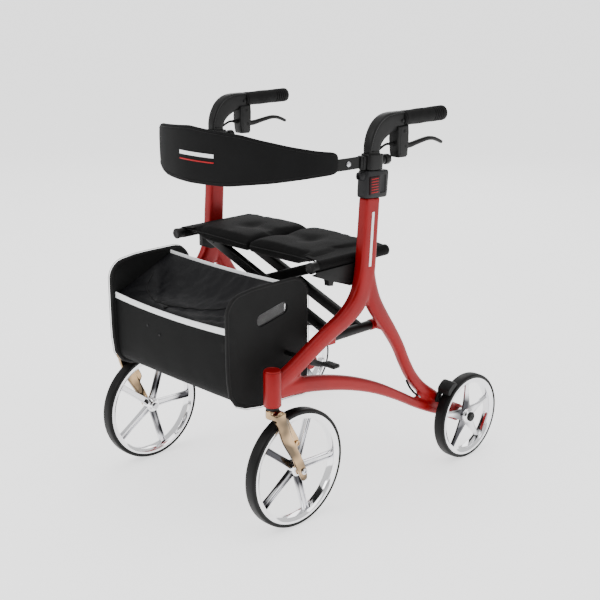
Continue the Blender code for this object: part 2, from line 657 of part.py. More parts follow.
def bag_side(side, s):
    """Stiff end panel of the bag, with an oblong hand hole."""
    outline = (
        [(-0.3650, 0.2980), (-0.3700, 0.3400), (-0.3700, 0.4400)]
        + arc((-0.3350, 0.4570), 0.0350, 165, 95, 4)
        + [(-0.3000, 0.4970), (-0.2350, 0.4970)]
        + arc((-0.2050, 0.4600), 0.0370, 85, 10, 4)
        + [(-0.1680, 0.4400), (-0.1680, 0.2850)]
        + arc((-0.1880, 0.2820), 0.0200, -5, -85, 3)
        + [(-0.2900, 0.2620), (-0.3450, 0.2740)]
    )
    panel = plate(side + "_bag_side", s * PANEL_IN, s * PANEL_OUT, outline, FABRIC)
    ends = ((-0.287, 0.4345), (-0.230, 0.4475))
    hole = arc(ends[0], 0.0135, 103, 283, 6) + arc(ends[1], 0.0135, -77, 103, 6)
    return cut(panel, plate("hole", s * (PANEL_IN - 0.01), s * (PANEL_OUT + 0.01), hole, FABRIC))


def bag_body():
    """Front, floor and back of the bag as one folded sheet between the end panels."""
    outer = [
        (-0.3665, 0.4300), (-0.3665, 0.3400), (-0.3620, 0.2990), (-0.3430, 0.2760), (-0.2900, 0.2650),
        (-0.2400, 0.2650), (-0.2230, 0.2720), (-0.2180, 0.2900), (-0.2195, 0.4865),
    ]
    inner = [
        (-0.2195 - BAG_WALL, 0.4865), (-0.2180 - BAG_WALL, 0.2920), (-0.2260, 0.2755), (-0.2410, 0.2650 + BAG_WALL),
        (-0.2895, 0.2650 + BAG_WALL), (-0.3410, 0.2795), (-0.3580, 0.3005), (-0.3665 + BAG_WALL, 0.3405),
        (-0.3665 + BAG_WALL, 0.4300),
    ]
    reach = PANEL_IN - GAP
    return plate("bag_body", -reach, reach, outer + inner, FABRIC)


def bag_lid():
    """Soft cover, hinged along the back edge of the bag and dipping in the middle."""
    top = [(-0.2190, 0.4925), (-0.2270, 0.4915), (-0.2500, 0.4730), (-0.2900, 0.4500), (-0.3300, 0.4350),
           (-0.3610, 0.4290)]
    under = [(y, z - 0.003) for y, z in reversed(top)]
    reach = PANEL_IN - 0.0015
    return plate("bag_lid", -reach, reach, top + under, FABRIC)


def backrest_band():
    """Padded strap bowed forward between the two brackets, deepest in the middle."""
    steps = 18
    first = 8.0
    rings = []
    for i in range(steps + 1):
        angle = math.radians(first + (180 - 2 * first) * i / steps)
        spread = math.sin(angle)
        high = 0.7480 + 0.049 * spread ** 1.4
        low = 0.7100 - 0.028 * spread ** 1.6
        ring = []
        for offset, z in ((0, low), (BACK_THICK, low), (BACK_THICK, high), (0, high)):
            ring.append((
                (BACK_HALF_WIDTH + BACK_THICK / 2 - offset) * math.cos(angle),
                BACK_END_Y - (BACK_BOW + BACK_THICK / 2 - offset) * spread,
                z,
            ))
        rings.append(ring)
    return skin("backrest_band", rings, FABRIC)


def head_cap(side, s):
    return turned(side + "_head_cap", (s * FRONT_TRACK, SWIVEL_Y, HEAD_HIGH + GAP), (0, 0, 1), [
        (0, 0), (0, 0.0165), (0.002, 0.0165), (0.003, 0.0145), (0.003, 0),
    ], RED, sides=16)


def group(name, pivot, pieces, parent=None):
    """Empty on a joint's axis that carries the pieces which move about it."""
    empty = bpy.data.objects.new(name, None)
    empty.empty_display_size = 0.03
    bpy.context.collection.objects.link(empty)
    pivot = Vector(pivot)
    origin = Vector(parent["pivot"]) if parent else Vector((0, 0, 0))
    empty["pivot"] = pivot
    empty.location = pivot - origin
    if parent:
        empty.parent = parent
    for piece in pieces:
        piece.data.transform(Matrix.Translation(-pivot))
        piece.parent = empty
    return empty


def shade(obj):
    obj.data.shade_smooth()
    obj.data.set_sharp_from_angle(angle=math.radians(32))


def build_side(side, s, frame_parent):
    """Everything on one side frame; returns the frame's empty."""
    collar, button = height_collar(side, s)
    bracket, knob = backrest_bracket(side, s)
    grips = handle(side, s)
    fixed = [
        side_frame(side + "_side_frame", s), head_cap(side, s), rear_axle(side, s), kerb_pedal(side, s),
        lower_cable(side, s), cable_adjuster(side, s), collar, rail_saddle(side, s), bag_side(side, s),
    ]
    frame = group(side + "_frame_group", (s * PIVOT_X, 0, PIVOT_Z), fixed, frame_parent)
    x = s * FRAME_X
    swivel = group(side + "_caster_group", (s * FRONT_TRACK, SWIVEL_Y, HEAD_LOW), caster(side, s), frame)
    group(side + "_front_wheel_group", (s * FRONT_TRACK, FRONT_AXLE_Y, FRONT_RADIUS), front_wheel(side, s), swivel)
    group(side + "_rear_wheel_group", (s * REAR_TRACK, REAR_AXLE_Y, REAR_RADIUS), rear_wheel(side, s), frame)
    group(side + "_brake_shoe_group", (s * 0.2563, *SHOE_PIVOT), [brake_shoe(side, s)], frame)
    group(side + "_height_button_group", (x, post_y(0.677), 0.677), [button], frame)
    slider = group(side + "_handle_group", (x, UPRIGHT_TOP_Y, UPRIGHT_TOP),
                   [grips["post"], grips["grip"], grips["housing"], grips["cable"], bracket], frame)
    group(side + "_brake_lever_group", (x, *LEVER_PIVOT), [grips["lever"]], slider)
    group(side + "_backrest_knob_group", (x, 0, 0.722), [knob], slider)
    return frame


def build():
    clear_scene()
    left = build_side("left", 1, None)
    arm_left = brace_arm("brace_arm_left", 1)
    arm_right = brace_arm("brace_arm_right", -1)
    group("bag_lid_group", (0, *LID_HINGE), [bag_lid()], left)
    group("soft_group", (0, 0, 0), [bag_body(), backrest_band()])
    first = group("arm_left_group", (PIVOT_X, 0, PIVOT_Z), [arm_left, seat_rail("right", -1), brace_pivot()], left)
    second = group("arm_right_group", (0, 0, CENTRE_Z), [arm_right, seat_rail("left", 1)], first)
    build_side("right", -1, second)
    group("right_seat_group", (-PIVOT_X, 0, RAIL_Z), [seat_pad("right", -1)], first)
    group("left_seat_group", (PIVOT_X, 0, RAIL_Z), [seat_pad("left", 1)], second)
    for obj in bpy.data.objects:
        if obj.type == "MESH":
            shade(obj)


build()
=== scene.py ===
import math

import bmesh
import bpy
import numpy as np
from mathutils import Matrix, Vector, noise


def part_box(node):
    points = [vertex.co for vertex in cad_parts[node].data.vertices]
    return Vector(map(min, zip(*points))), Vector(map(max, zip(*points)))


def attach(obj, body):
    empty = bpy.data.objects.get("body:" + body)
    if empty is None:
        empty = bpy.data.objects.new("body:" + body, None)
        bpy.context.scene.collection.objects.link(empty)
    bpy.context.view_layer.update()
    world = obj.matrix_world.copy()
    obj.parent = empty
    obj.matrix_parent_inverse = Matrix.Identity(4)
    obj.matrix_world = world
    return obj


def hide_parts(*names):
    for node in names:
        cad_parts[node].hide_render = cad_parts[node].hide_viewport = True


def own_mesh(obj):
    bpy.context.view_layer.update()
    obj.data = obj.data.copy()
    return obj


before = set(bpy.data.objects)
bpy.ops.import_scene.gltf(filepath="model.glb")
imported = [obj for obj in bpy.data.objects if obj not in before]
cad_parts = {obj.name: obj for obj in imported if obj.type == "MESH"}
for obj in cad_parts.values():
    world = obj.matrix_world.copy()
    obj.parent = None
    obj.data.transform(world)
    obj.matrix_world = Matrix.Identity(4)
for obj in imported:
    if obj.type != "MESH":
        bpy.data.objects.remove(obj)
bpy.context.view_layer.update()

sideWays = Vector((1, 0, 0))
sides = {"left": 1, "right": -1}


# mesh helpers

def meshPiece(name, bm):
    bmesh.ops.recalc_face_normals(bm, faces=bm.faces)
    mesh = bpy.data.meshes.new(name)
    bm.to_mesh(mesh)
    bm.free()
    piece = bpy.data.objects.new(name, mesh)
    bpy.context.scene.collection.objects.link(piece)
    return piece


def loftPiece(name, rings, capped=True, looped=False):
    bm = bmesh.new()
    loops = [[bm.verts.new(point) for point in ring] for ring in rings]
    pairs = list(zip(loops, loops[1:]))
    if looped:
        pairs.append((loops[-1], loops[0]))
    for low, high in pairs:
        for i in range(len(low)):
            j = (i + 1) % len(low)
            bm.faces.new((low[i], low[j], high[j], high[i]))
    if capped and not looped:
        bm.faces.new(list(reversed(loops[0])))
        bm.faces.new(loops[-1])
    return meshPiece(name, bm)


def curveThrough(stations, perSpan):  # Catmull-Rom through every number of each station
    points = [stations[0]] + list(stations) + [stations[-1]]
    result = []
    for a, b, c, d in zip(points, points[1:], points[2:], points[3:]):
        for step in range(perSpan):
            t = step / perSpan
            result.append([
                0.5 * (2 * q + (r - p) * t + (2 * p - 5 * q + 4 * r - s) * t * t + (3 * q - p - 3 * r + s) * t ** 3)
                for p, q, r, s in zip(a, b, c, d)
            ])
    result.append(list(stations[-1]))
    return result


def ovalRing(centre, across, sideways, deep, wide, count, power):
    ring = []
    for i in range(count):
        angle = 2 * math.pi * (i + 0.5) / count
        c = math.cos(angle)
        s = math.sin(angle)
        u = math.copysign(abs(c) ** (2 / power), c) * deep / 2
        v = math.copysign(abs(s) ** (2 / power), s) * wide / 2
        ring.append(centre + across * u + sideways * v)
    return ring


def sweptPiece(name, stations, count=20, power=2.4, perSpan=4, roundEnds=0.0, sideways=sideWays):
    # stations are (x, y, z, deep, wide) and perhaps their own power: wide runs along sideways, deep across it
    path = curveThrough(stations, perSpan) if perSpan > 1 else stations
    places = [Vector(p[:3]) for p in path]
    rings = []
    for i, (place, entry) in enumerate(zip(places, path)):
        along = (places[min(i + 1, len(path) - 1)] - places[max(i - 1, 0)]).normalized()
        across = along.cross(sideways).normalized()
        beside = across.cross(along).normalized()
        steps = [(0.0, 1.0)]
        if roundEnds and i in (0, len(path) - 1):
            reach = roundEnds * min(entry[3], entry[4]) / 2
            outward = -1 if i == 0 else 1
            steps = [(0.0, 1.0), (0.5, 0.87), (0.87, 0.5), (1.0, 0.12)]
            steps = [(outward * reach * a, b) for a, b in steps]
            if i == 0:
                steps.reverse()
        for shift, scale in steps:
            centre = place + along * shift
            own = entry[5] if len(entry) > 5 else power
            rings.append(ovalRing(centre, across, beside, entry[3] * scale, entry[4] * scale, count, own))
    return loftPiece(name, rings)


def planeStations(x, stations):  # (y, z, deep, wide) in the plane at x
    return [(x, *station) for station in stations]


def turnedPiece(name, origin, axis, profile, count=48, ring=False):
    # profile holds (distance along the axis, radius); ring joins its last point to its first
    origin = Vector(origin)
    turn = Vector(axis).to_track_quat("Z", "Y")
    bm = bmesh.new()
    columns = []
    for distance, radius in profile:
        if radius == 0:
            columns.append([bm.verts.new(origin + turn @ Vector((0, 0, distance)))])
            continue
        columns.append([
            bm.verts.new(origin + turn @ Vector((radius * math.cos(a), radius * math.sin(a), distance)))
            for a in (2 * math.pi * i / count for i in range(count))
        ])
    pairs = list(zip(columns, columns[1:]))
    if ring:
        pairs.append((columns[-1], columns[0]))
    for low, high in pairs:
        for i in range(count):
            j = (i + 1) % count
            corners = [low[i % len(low)], low[j % len(low)], high[j % len(high)], high[i % len(high)]]
            bm.faces.new(list(dict.fromkeys(corners)))
    return meshPiece(name, bm)


def blockPiece(name, low, high, rounding=0.0, segments=3):
    bm = bmesh.new()
    bmesh.ops.create_cube(bm, size=1.0)
    low = Vector(low)
    high = Vector(high)
    size = [abs(b - a) for a, b in zip(low, high)]
    bmesh.ops.transform(bm, matrix=Matrix.Diagonal((*size, 1)), verts=bm.verts)
    bmesh.ops.translate(bm, vec=(low + high) / 2, verts=bm.verts)
    if rounding:
        bmesh.ops.bevel(bm, geom=bm.edges[:], offset=rounding, segments=segments, profile=0.5, affect="EDGES")
    return meshPiece(name, bm)


def platePiece(name, outline, xLow, xHigh, rounding=0.0, segments=3):
    # flat plate with a (y, z) outline between two X planes, its long edges rounded over
    bm = bmesh.new()
    loops = [[bm.verts.new((x, y, z)) for y, z in outline] for x in (xLow, xHigh)]
    for i in range(len(outline)):
        j = (i + 1) % len(outline)
        bm.faces.new((loops[0][i], loops[0][j], loops[1][j], loops[1][i]))
    caps = [bm.faces.new(loops[0]), bm.faces.new(loops[1])]
    if rounding:
        edges = list({e for cap in caps for e in cap.edges})
        bmesh.ops.bevel(bm, geom=edges, offset=rounding, segments=segments, profile=0.5, affect="EDGES")
    return meshPiece(name, bm)


def arcPoints(centre, radius, start, end, steps):  # (y, z) points, degrees from +Y towards +Z
    angles = [math.radians(start + (end - start) * i / steps) for i in range(steps + 1)]
    return [(centre[0] + radius * math.cos(a), centre[1] + radius * math.sin(a)) for a in angles]


def applyModifiers(piece):
    graph = bpy.context.evaluated_depsgraph_get()
    mesh = bpy.data.meshes.new_from_object(piece.evaluated_get(graph))
    piece.modifiers.clear()
    piece.data = mesh
    return piece


def joinPieces(target, *others):
    bm = bmesh.new()
    bm.from_mesh(target.data)
    for other in others:
        bm.from_mesh(other.data)
        bpy.data.objects.remove(other, do_unlink=True)
    bm.to_mesh(target.data)
    bm.free()
    return target


def boolPiece(target, cutters, operation="DIFFERENCE"):
    for cutter in cutters:
        modifier = target.modifiers.new("cut", "BOOLEAN")
        modifier.operation = operation
        modifier.solver = "EXACT"
        modifier.object = cutter
    applyModifiers(target)
    for cutter in cutters:
        bpy.data.objects.remove(cutter, do_unlink=True)
    return target


def forgePiece(piece, voxel, fillet=0.0, rounds=4):
    # melts overlapping limbs into one skin; fillet fills the inside corners with about that radius
    steps = [("REMESH", None)]
    if fillet:
        steps += [("DISPLACE", fillet), ("REMESH", None), ("DISPLACE", -fillet), ("REMESH", None)]
    for kind, amount in steps:
        modifier = piece.modifiers.new(kind.lower(), kind)
        if kind == "REMESH":
            modifier.mode = "VOXEL"
            modifier.voxel_size = voxel
        else:
            modifier.strength = amount
            modifier.mid_level = 0.0
        applyModifiers(piece)
    smoothPoints(piece, rounds)
    return piece


def smoothPoints(piece, rounds, share=0.5):
    if rounds:
        modifier = piece.modifiers.new("smooth", "SMOOTH")
        modifier.factor = share
        modifier.iterations = rounds
        applyModifiers(piece)


def subdivided(piece, levels=1):
    modifier = piece.modifiers.new("subdivision", "SUBSURF")
    modifier.levels = levels
    modifier.render_levels = levels
    return applyModifiers(piece)


def pointsOf(piece):
    flat = np.empty(len(piece.data.vertices) * 3)
    piece.data.vertices.foreach_get("co", flat)
    return flat.reshape(-1, 3)


def setPoints(piece, points):
    piece.data.vertices.foreach_set("co", np.ascontiguousarray(points, dtype=np.float64).ravel())
    piece.data.update()


def mirroredPiece(piece, name):
    mesh = piece.data.copy()
    mesh.transform(Matrix.Scale(-1, 4, sideWays))
    mesh.flip_normals()
    twin = bpy.data.objects.new(name, mesh)
    bpy.context.scene.collection.objects.link(twin)
    return twin


def place(piece, body, finish, slotName, nodes=(), sharp=35):
    piece.data.materials.clear()
    piece.data.materials.append(finish)
    piece.data.shade_smooth()
    piece.data.set_sharp_from_angle(angle=math.radians(sharp))
    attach(piece, body)
    if nodes:
        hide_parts(*nodes)
    return piece


def placeBoth(piece, name, body, finish, slotName, nodes=(), sharp=35):
    # the piece is made on the left; its mirror image goes on the right
    twin = mirroredPiece(piece, "right" + name)
    piece.name = "left" + name
    for side, made in (("left", piece), ("right", twin)):
        place(made, side + "_" + body, finish, slotName, [side + "_" + node for node in nodes], sharp)
    return piece, twin


# finishes

def startFinish(name, colour, roughness, metallic=0.0):
    finish = bpy.data.materials.new(name)
    finish.use_nodes = True
    tree = finish.node_tree
    shader = tree.nodes["Principled BSDF"]
    shader.inputs["Base Color"].default_value = (*colour, 1)
    shader.inputs["Roughness"].default_value = roughness
    shader.inputs["Metallic"].default_value = metallic
    finish.diffuse_color = (*colour, 1)
    coordinates = tree.nodes.new("ShaderNodeTexCoord")
    return finish, tree, shader, coordinates.outputs["Object"]


def noiseField(tree, coordinates, scale, detail=3.0, stretch=None):
    source = coordinates
    if stretch:
        mapping = tree.nodes.new("ShaderNodeMapping")
        mapping.inputs["Scale"].default_value = stretch
        tree.links.new(coordinates, mapping.inputs["Vector"])
        source = mapping.outputs["Vector"]
    field = tree.nodes.new("ShaderNodeTexNoise")
    field.inputs["Scale"].default_value = scale
    field.inputs["Detail"].default_value = detail
    tree.links.new(source, field.inputs["Vector"])
    return field.outputs["Fac"]


def colourBetween(tree, factor, low, high, start=0.3, end=0.7):
    ramp = tree.nodes.new("ShaderNodeValToRGB")
    ramp.color_ramp.elements[0].position = start
    ramp.color_ramp.elements[0].color = (*low, 1)
    ramp.color_ramp.elements[1].position = end
    ramp.color_ramp.elements[1].color = (*high, 1)
    tree.links.new(factor, ramp.inputs["Fac"])
    return ramp.outputs["Color"]


def numberBetween(tree, factor, low, high, start=0.3, end=0.7):
    span = tree.nodes.new("ShaderNodeMapRange")
    span.inputs["From Min"].default_value = start
    span.inputs["From Max"].default_value = end
    span.inputs["To Min"].default_value = low
    span.inputs["To Max"].default_value = high
    tree.links.new(factor, span.inputs["Value"])
    return span.outputs["Result"]


def joinNumbers(tree, operation, first, second):
    node = tree.nodes.new("ShaderNodeMath")
    node.operation = operation
    for i, value in enumerate((first, second)):
        if isinstance(value, (int, float)):
            node.inputs[i].default_value = value
        else:
            tree.links.new(value, node.inputs[i])
    return node.outputs[0]


def addBump(tree, shader, height, strength, distance):
    bump = tree.nodes.new("ShaderNodeBump")
    bump.inputs["Strength"].default_value = strength
    bump.inputs["Distance"].default_value = distance
    tree.links.new(height, bump.inputs["Height"])
    tree.links.new(bump.outputs["Normal"], shader.inputs["Normal"])


def threadWaves(tree, coordinates, pitch):
    # three sets of threads, so that two of them cross on any face of the cloth
    heights = []
    for direction in ((1, 1, 1), (1, 1, -1), (1, -1, 1)):
        dot = tree.nodes.new("ShaderNodeVectorMath")
        dot.operation = "DOT_PRODUCT"
        dot.inputs[1].default_value = [n * 2 * math.pi / pitch for n in direction]
        tree.links.new(coordinates, dot.inputs[0])
        wave = joinNumbers(tree, "SINE", dot.outputs["Value"], 0)
        heights.append(joinNumbers(tree, "MULTIPLY_ADD", wave, 0.5))
    return joinNumbers(tree, "MAXIMUM", joinNumbers(tree, "MAXIMUM", heights[0], heights[1]), heights[2])


def redLacquer(look):
    finish, tree, shader, where = startFinish("redLacquer", look["colour"], look["roughness"], look["metallic"])
    drift = noiseField(tree, where, 14, 2)
    flakes = noiseField(tree, where, 2600, 1)
    tree.links.new(colourBetween(tree, drift, look["deep"], look["colour"]), shader.inputs["Base Color"])
    rough = joinNumbers(tree, "ADD", numberBetween(tree, noiseField(tree, where, 40, 4), 0.0, 0.06),
                        look["roughness"])
    tree.links.new(rough, shader.inputs["Roughness"])
    shader.inputs["Specular IOR Level"].default_value = look["gloss"]
    shader.inputs["Coat Weight"].default_value = look["coat"]
    shader.inputs["Coat Roughness"].default_value = look["coatRoughness"]
    addBump(tree, shader, flakes, 0.06, 0.0002)
    return finish


def brightMetal(name, look):
    finish, tree, shader, where = startFinish(name, look["colour"], look["roughness"], 1.0)
    smudge = noiseField(tree, where, look["smudgeScale"], 4)
    rough = numberBetween(tree, smudge, look["roughness"], look["roughness"] + look["smudge"])
    tree.links.new(rough, shader.inputs["Roughness"])
    # noise drifts the colour between shade and colour: a slight random tone for chrome and steel, painted
    # reflections for the spoke and fork finishes
    tint = colourBetween(tree, noiseField(tree, where, look["drift"], 1), look["shade"], look["colour"],
                         *look["edges"])
    tree.links.new(tint, shader.inputs["Base Color"])
    addBump(tree, shader, noiseField(tree, where, look["grain"], 2), look["grainDepth"], 0.0002)
    return finish


def moulding(name, look):
    finish, tree, shader, where = startFinish(name, look["colour"], look["roughness"])
    drift = noiseField(tree, where, 22, 3)
    tree.links.new(colourBetween(tree, drift, look["shade"], look["colour"]), shader.inputs["Base Color"])
    rough = numberBetween(tree, noiseField(tree, where, 60, 4), look["roughness"] - 0.05, look["roughness"] + 0.06)
    tree.links.new(rough, shader.inputs["Roughness"])
    shader.inputs["Specular IOR Level"].default_value = look["gloss"]
    addBump(tree, shader, noiseField(tree, where, look["grain"], 2), look["grainDepth"], 0.0004)
    return finish


def cloth(name, look):
    finish, tree, shader, where = startFinish(name, look["colour"], look["roughness"])
    threads = threadWaves(tree, where, look["pitch"])
    drift = noiseField(tree, where, 18, 4)
    # darkening the colour where the threads are low is painted shade in the weave's grooves; the large noise drift
    # is random tone
    shade = joinNumbers(tree, "MULTIPLY", numberBetween(tree, threads, 0.55, 1.0, 0.0, 1.0), 1.0)
    mixed = joinNumbers(tree, "MULTIPLY", shade, numberBetween(tree, drift, 0.75, 1.15))
    tree.links.new(colourBetween(tree, mixed, look["shade"], look["colour"], 0.35, 1.0), shader.inputs["Base Color"])
    fluff = joinNumbers(tree, "MULTIPLY", noiseField(tree, where, 700, 2), 0.5)
    addBump(tree, shader, joinNumbers(tree, "ADD", threads, fluff), look["depth"], 0.0005)
    shader.inputs["Sheen Weight"].default_value = look["sheen"]
    shader.inputs["Sheen Roughness"].default_value = 0.45
    shader.inputs["Specular IOR Level"].default_value = look["gloss"]
    return finish


finishLooks = {
    "red": {"colour": (0.26, 0.0015, 0.0030), "deep": (0.20, 0.0010, 0.0022), "roughness": 0.36, "metallic": 0.25,
            "coat": 0.10, "coatRoughness": 0.20, "gloss": 0.22},
    "chrome": {"colour": (0.93, 0.93, 0.94), "shade": (0.80, 0.80, 0.82), "roughness": 0.035, "smudge": 0.06,
               "smudgeScale": 30, "grain": 300, "grainDepth": 0.01, "drift": 6, "edges": (0.3, 0.7)},
    # spokes: the noise blotches between a near-black shade and a pale colour are painted reflections, dark and
    # bright patches of a mirror
    "spokeChromePaintedReflections": {"colour": (0.80, 0.80, 0.82), "shade": (0.05, 0.05, 0.055), "roughness": 0.05, "smudge": 0.05,
                    "smudgeScale": 30, "grain": 300, "grainDepth": 0.01, "drift": 11, "edges": (0.42, 0.56)},
    # fork: the brown colour is a painted reflection of a wood floor, and the dark noise blotches are painted
    # reflections
    "forkChromePaintedReflections": {"colour": (0.52, 0.35, 0.19), "shade": (0.12, 0.09, 0.06), "roughness": 0.06, "smudge": 0.05,
                   "smudgeScale": 30, "grain": 300, "grainDepth": 0.01, "drift": 22, "edges": (0.38, 0.60)},
    "steel": {"colour": (0.66, 0.66, 0.68), "shade": (0.50, 0.50, 0.52), "roughness": 0.22, "smudge": 0.15,
              "smudgeScale": 60, "grain": 900, "grainDepth": 0.05, "drift": 6, "edges": (0.3, 0.7)},
    "tyre": {"colour": (0.006, 0.006, 0.006), "shade": (0.003, 0.003, 0.003), "roughness": 0.46, "gloss": 0.16,
             "grain": 500, "grainDepth": 0.12},
    "mould": {"colour": (0.007, 0.007, 0.007), "shade": (0.004, 0.004, 0.004), "roughness": 0.44, "gloss": 0.20,
              "grain": 1400, "grainDepth": 0.16},
    "grey": {"colour": (0.012, 0.012, 0.013), "shade": (0.008, 0.008, 0.009), "roughness": 0.45, "gloss": 0.22,
             "grain": 1400, "grainDepth": 0.16},
    "rubber": {"colour": (0.005, 0.005, 0.005), "shade": (0.003, 0.003, 0.003), "roughness": 0.66, "gloss": 0.14,
               "grain": 1000, "grainDepth": 0.25},
    "powder": {"colour": (0.004, 0.004, 0.004), "shade": (0.002, 0.002, 0.002), "roughness": 0.36, "gloss": 0.18,
               "grain": 700, "grainDepth": 0.10},
    "padRed": {"colour": (0.026, 0.005, 0.006), "shade": (0.018, 0.004, 0.005), "roughness": 0.5, "gloss": 0.2,
               "grain": 1400, "grainDepth": 0.16},
    "paintedRed": {"colour": (0.42, 0.006, 0.010), "shade": (0.34, 0.005, 0.008), "roughness": 0.5, "gloss": 0.2,
                   "grain": 900, "grainDepth": 0.05},
    "seatCloth": {"colour": (0.0045, 0.0045, 0.0045), "shade": (0.002, 0.002, 0.002), "roughness": 0.72,
                  "pitch": 0.0017, "depth": 0.30, "sheen": 0.01, "gloss": 0.08},
    "bagCloth": {"colour": (0.0050, 0.0052, 0.0052), "shade": (0.0025, 0.0025, 0.0025), "roughness": 0.66,
                 "pitch": 0.0015, "depth": 0.28, "sheen": 0.01, "gloss": 0.08},
    "panelCloth": {"colour": (0.0095, 0.0097, 0.0097), "shade": (0.006, 0.006, 0.006), "roughness": 0.62,
                   "pitch": 0.0012, "depth": 0.18, "sheen": 0.01, "gloss": 0.10},
    "lidCloth": {"colour": (0.0040, 0.0040, 0.0050), "shade": (0.002, 0.002, 0.0025), "roughness": 0.46,
                 "pitch": 0.0011, "depth": 0.20, "sheen": 0.01, "gloss": 0.14},
    "backCloth": {"colour": (0.0085, 0.0085, 0.0087), "shade": (0.006, 0.006, 0.006), "roughness": 0.78,
                  "pitch": 0.0015, "depth": 0.25, "sheen": 0.02, "gloss": 0.07},
    "tape": {"colour": (0.012, 0.012, 0.012), "shade": (0.007, 0.007, 0.007), "roughness": 0.60, "pitch": 0.0010,
             "depth": 0.35, "sheen": 0.02, "gloss": 0.12},
    "reflective": {"colour": (0.90, 0.91, 0.92), "shade": (0.80, 0.81, 0.82), "roughness": 0.38, "pitch": 0.0012,
                   "depth": 0.10, "sheen": 0.10, "gloss": 0.50},
    "mesh": {"colour": (0.24, 0.24, 0.24), "shade": (0.17, 0.17, 0.17), "roughness": 0.6, "gloss": 0.2,
             "grain": 900, "grainDepth": 0.1},
}

red = redLacquer(finishLooks["red"])
chrome = brightMetal("chrome", finishLooks["chrome"])
spokeChromePaintedReflections = brightMetal("spokeChromePaintedReflections", finishLooks["spokeChromePaintedReflections"])
forkChromePaintedReflections = brightMetal("forkChromePaintedReflections", finishLooks["forkChromePaintedReflections"])
steel = brightMetal("zincSteel", finishLooks["steel"])
tyreRubber = moulding("tyreRubber", finishLooks["tyre"])
blackMould = moulding("blackMoulding", finishLooks["mould"])
greyMould = moulding("greyMoulding", finishLooks["grey"])
gripRubber = moulding("gripRubber", finishLooks["rubber"])
powderBlack = moulding("blackPowderCoat", finishLooks["powder"])
padRed = moulding("padRed", finishLooks["padRed"])
paintRed = moulding("redPrint", finishLooks["paintedRed"])
meshYarn = moulding("meshYarn", finishLooks["mesh"])
seatCloth = cloth("seatCloth", finishLooks["seatCloth"])
bagCloth = cloth("bagCloth", finishLooks["bagCloth"])
panelCloth = cloth("panelCloth", finishLooks["panelCloth"])
lidCloth = cloth("lidCloth", finishLooks["lidCloth"])
backCloth = cloth("backCloth", finishLooks["backCloth"])
edgeTape = cloth("edgeTape", finishLooks["tape"])
reflectiveTape = cloth("reflectiveTape", finishLooks["reflective"])
print("finishes made")


# camera and light

cameraView = {"azimuth": 45.59, "elevation": 16.65, "distance": 2.45, "target": (0.0456, -0.0411, 0.3937),
              "lens": 67.0}


def aimCamera(look):
    turn = math.radians(look["azimuth"])
    lift = math.radians(look["elevation"])
    back = Vector((math.sin(turn) * math.cos(lift), -math.cos(turn) * math.cos(lift), math.sin(lift)))
    lens = bpy.data.cameras.new("camera")
    lens.lens = look["lens"]
    lens.sensor_width = 36
    camera = bpy.data.objects.new("camera", lens)
    camera.location = Vector(look["target"]) + back * look["distance"]
    camera.rotation_mode = "QUATERNION"
    camera.rotation_quaternion = (-back).to_track_quat("-Z", "Y")
    bpy.context.scene.collection.objects.link(camera)
    bpy.context.scene.camera = camera


studio = {
    "floorSize": 120.0, "floorColour": (0.88, 0.88, 0.88), "floorGlow": 1.3, "skyLow": (1.0, 1.0, 1.0),
    "skyHigh": (0.92, 0.92, 0.92), "skyStrength": 0.95, "flagColour": (0.05, 0.048, 0.045),
    "flagAim": (0.80, -0.50, 0.33), "flagEdge": (0.80, 0.93),
    "lamps": [  # name, place, size, power
        ("keyLamp", (-0.9, -3.2, 2.9), (2.2, 1.6), 50),
        ("fillLamp", (3.3, 0.6, 1.9), (1.6, 2.4), 24),
        ("topLamp", (0.0, 0.0, 3.4), (2.6, 2.6), 30),
        ("backLamp", (-2.4, 2.6, 2.0), (1.8, 1.8), 24),
    ],
}


def setStudio(look):
    world = bpy.data.worlds.new("studioSky")
    bpy.context.scene.world = world
    world.use_nodes = True
    tree = world.node_tree
    where = tree.nodes.new("ShaderNodeTexCoord")
    split = tree.nodes.new("ShaderNodeSeparateXYZ")
    tree.links.new(where.outputs["Generated"], split.inputs["Vector"])
    sky = colourBetween(tree, split.outputs["Z"], look["skyLow"], look["skyHigh"], 0.0, 0.5)
    aim = tree.nodes.new("ShaderNodeVectorMath")  # a dark flag gives the bright metal something to mirror
    aim.operation = "DOT_PRODUCT"
    aim.inputs[1].default_value = Vector(look["flagAim"]).normalized()
    tree.links.new(where.outputs["Generated"], aim.inputs[0])
    inFlag = numberBetween(tree, aim.outputs["Value"], 0.0, 1.0, *look["flagEdge"])
    flag = tree.nodes.new("ShaderNodeMix")
    flag.data_type = "RGBA"
    tree.links.new(inFlag, flag.inputs[0])
    tree.links.new(sky, flag.inputs[6])
    flag.inputs[7].default_value = (*look["flagColour"], 1)
    sky = flag.outputs[2]
    backdrop = tree.nodes["Background"]
    tree.links.new(sky, backdrop.inputs["Color"])
    backdrop.inputs["Strength"].default_value = look["skyStrength"]
    half = look["floorSize"] / 2
    floor = blockPiece("floor", (-half, -half, -0.02), (half, half, 0.0))
    paper, tree, shader, where = startFinish("palePaper", look["floorColour"], 0.85)
    tint = colourBetween(tree, noiseField(tree, where, 3, 2), look["floorColour"],
                         [c + 0.015 for c in look["floorColour"]])
    tree.links.new(tint, shader.inputs["Base Color"])
    shader.inputs["Emission Color"].default_value = (1, 1, 1, 1)
    shader.inputs["Emission Strength"].default_value = look["floorGlow"]
    floor.data.materials.append(paper)
    for name, spot, size, power in look["lamps"]:
        lamp = bpy.data.lights.new(name, "AREA")
        lamp.shape = "RECTANGLE"
        lamp.size, lamp.size_y = size
        lamp.energy = power
        holder = bpy.data.objects.new(name, lamp)
        holder.location = spot
        holder.rotation_euler = (Vector((0, 0, 0.4)) - Vector(spot)).to_track_quat("-Z", "Y").to_euler()
        bpy.context.scene.collection.objects.link(holder)


aimCamera(cameraView)
setStudio(studio)
print("camera and studio set")


# side frames

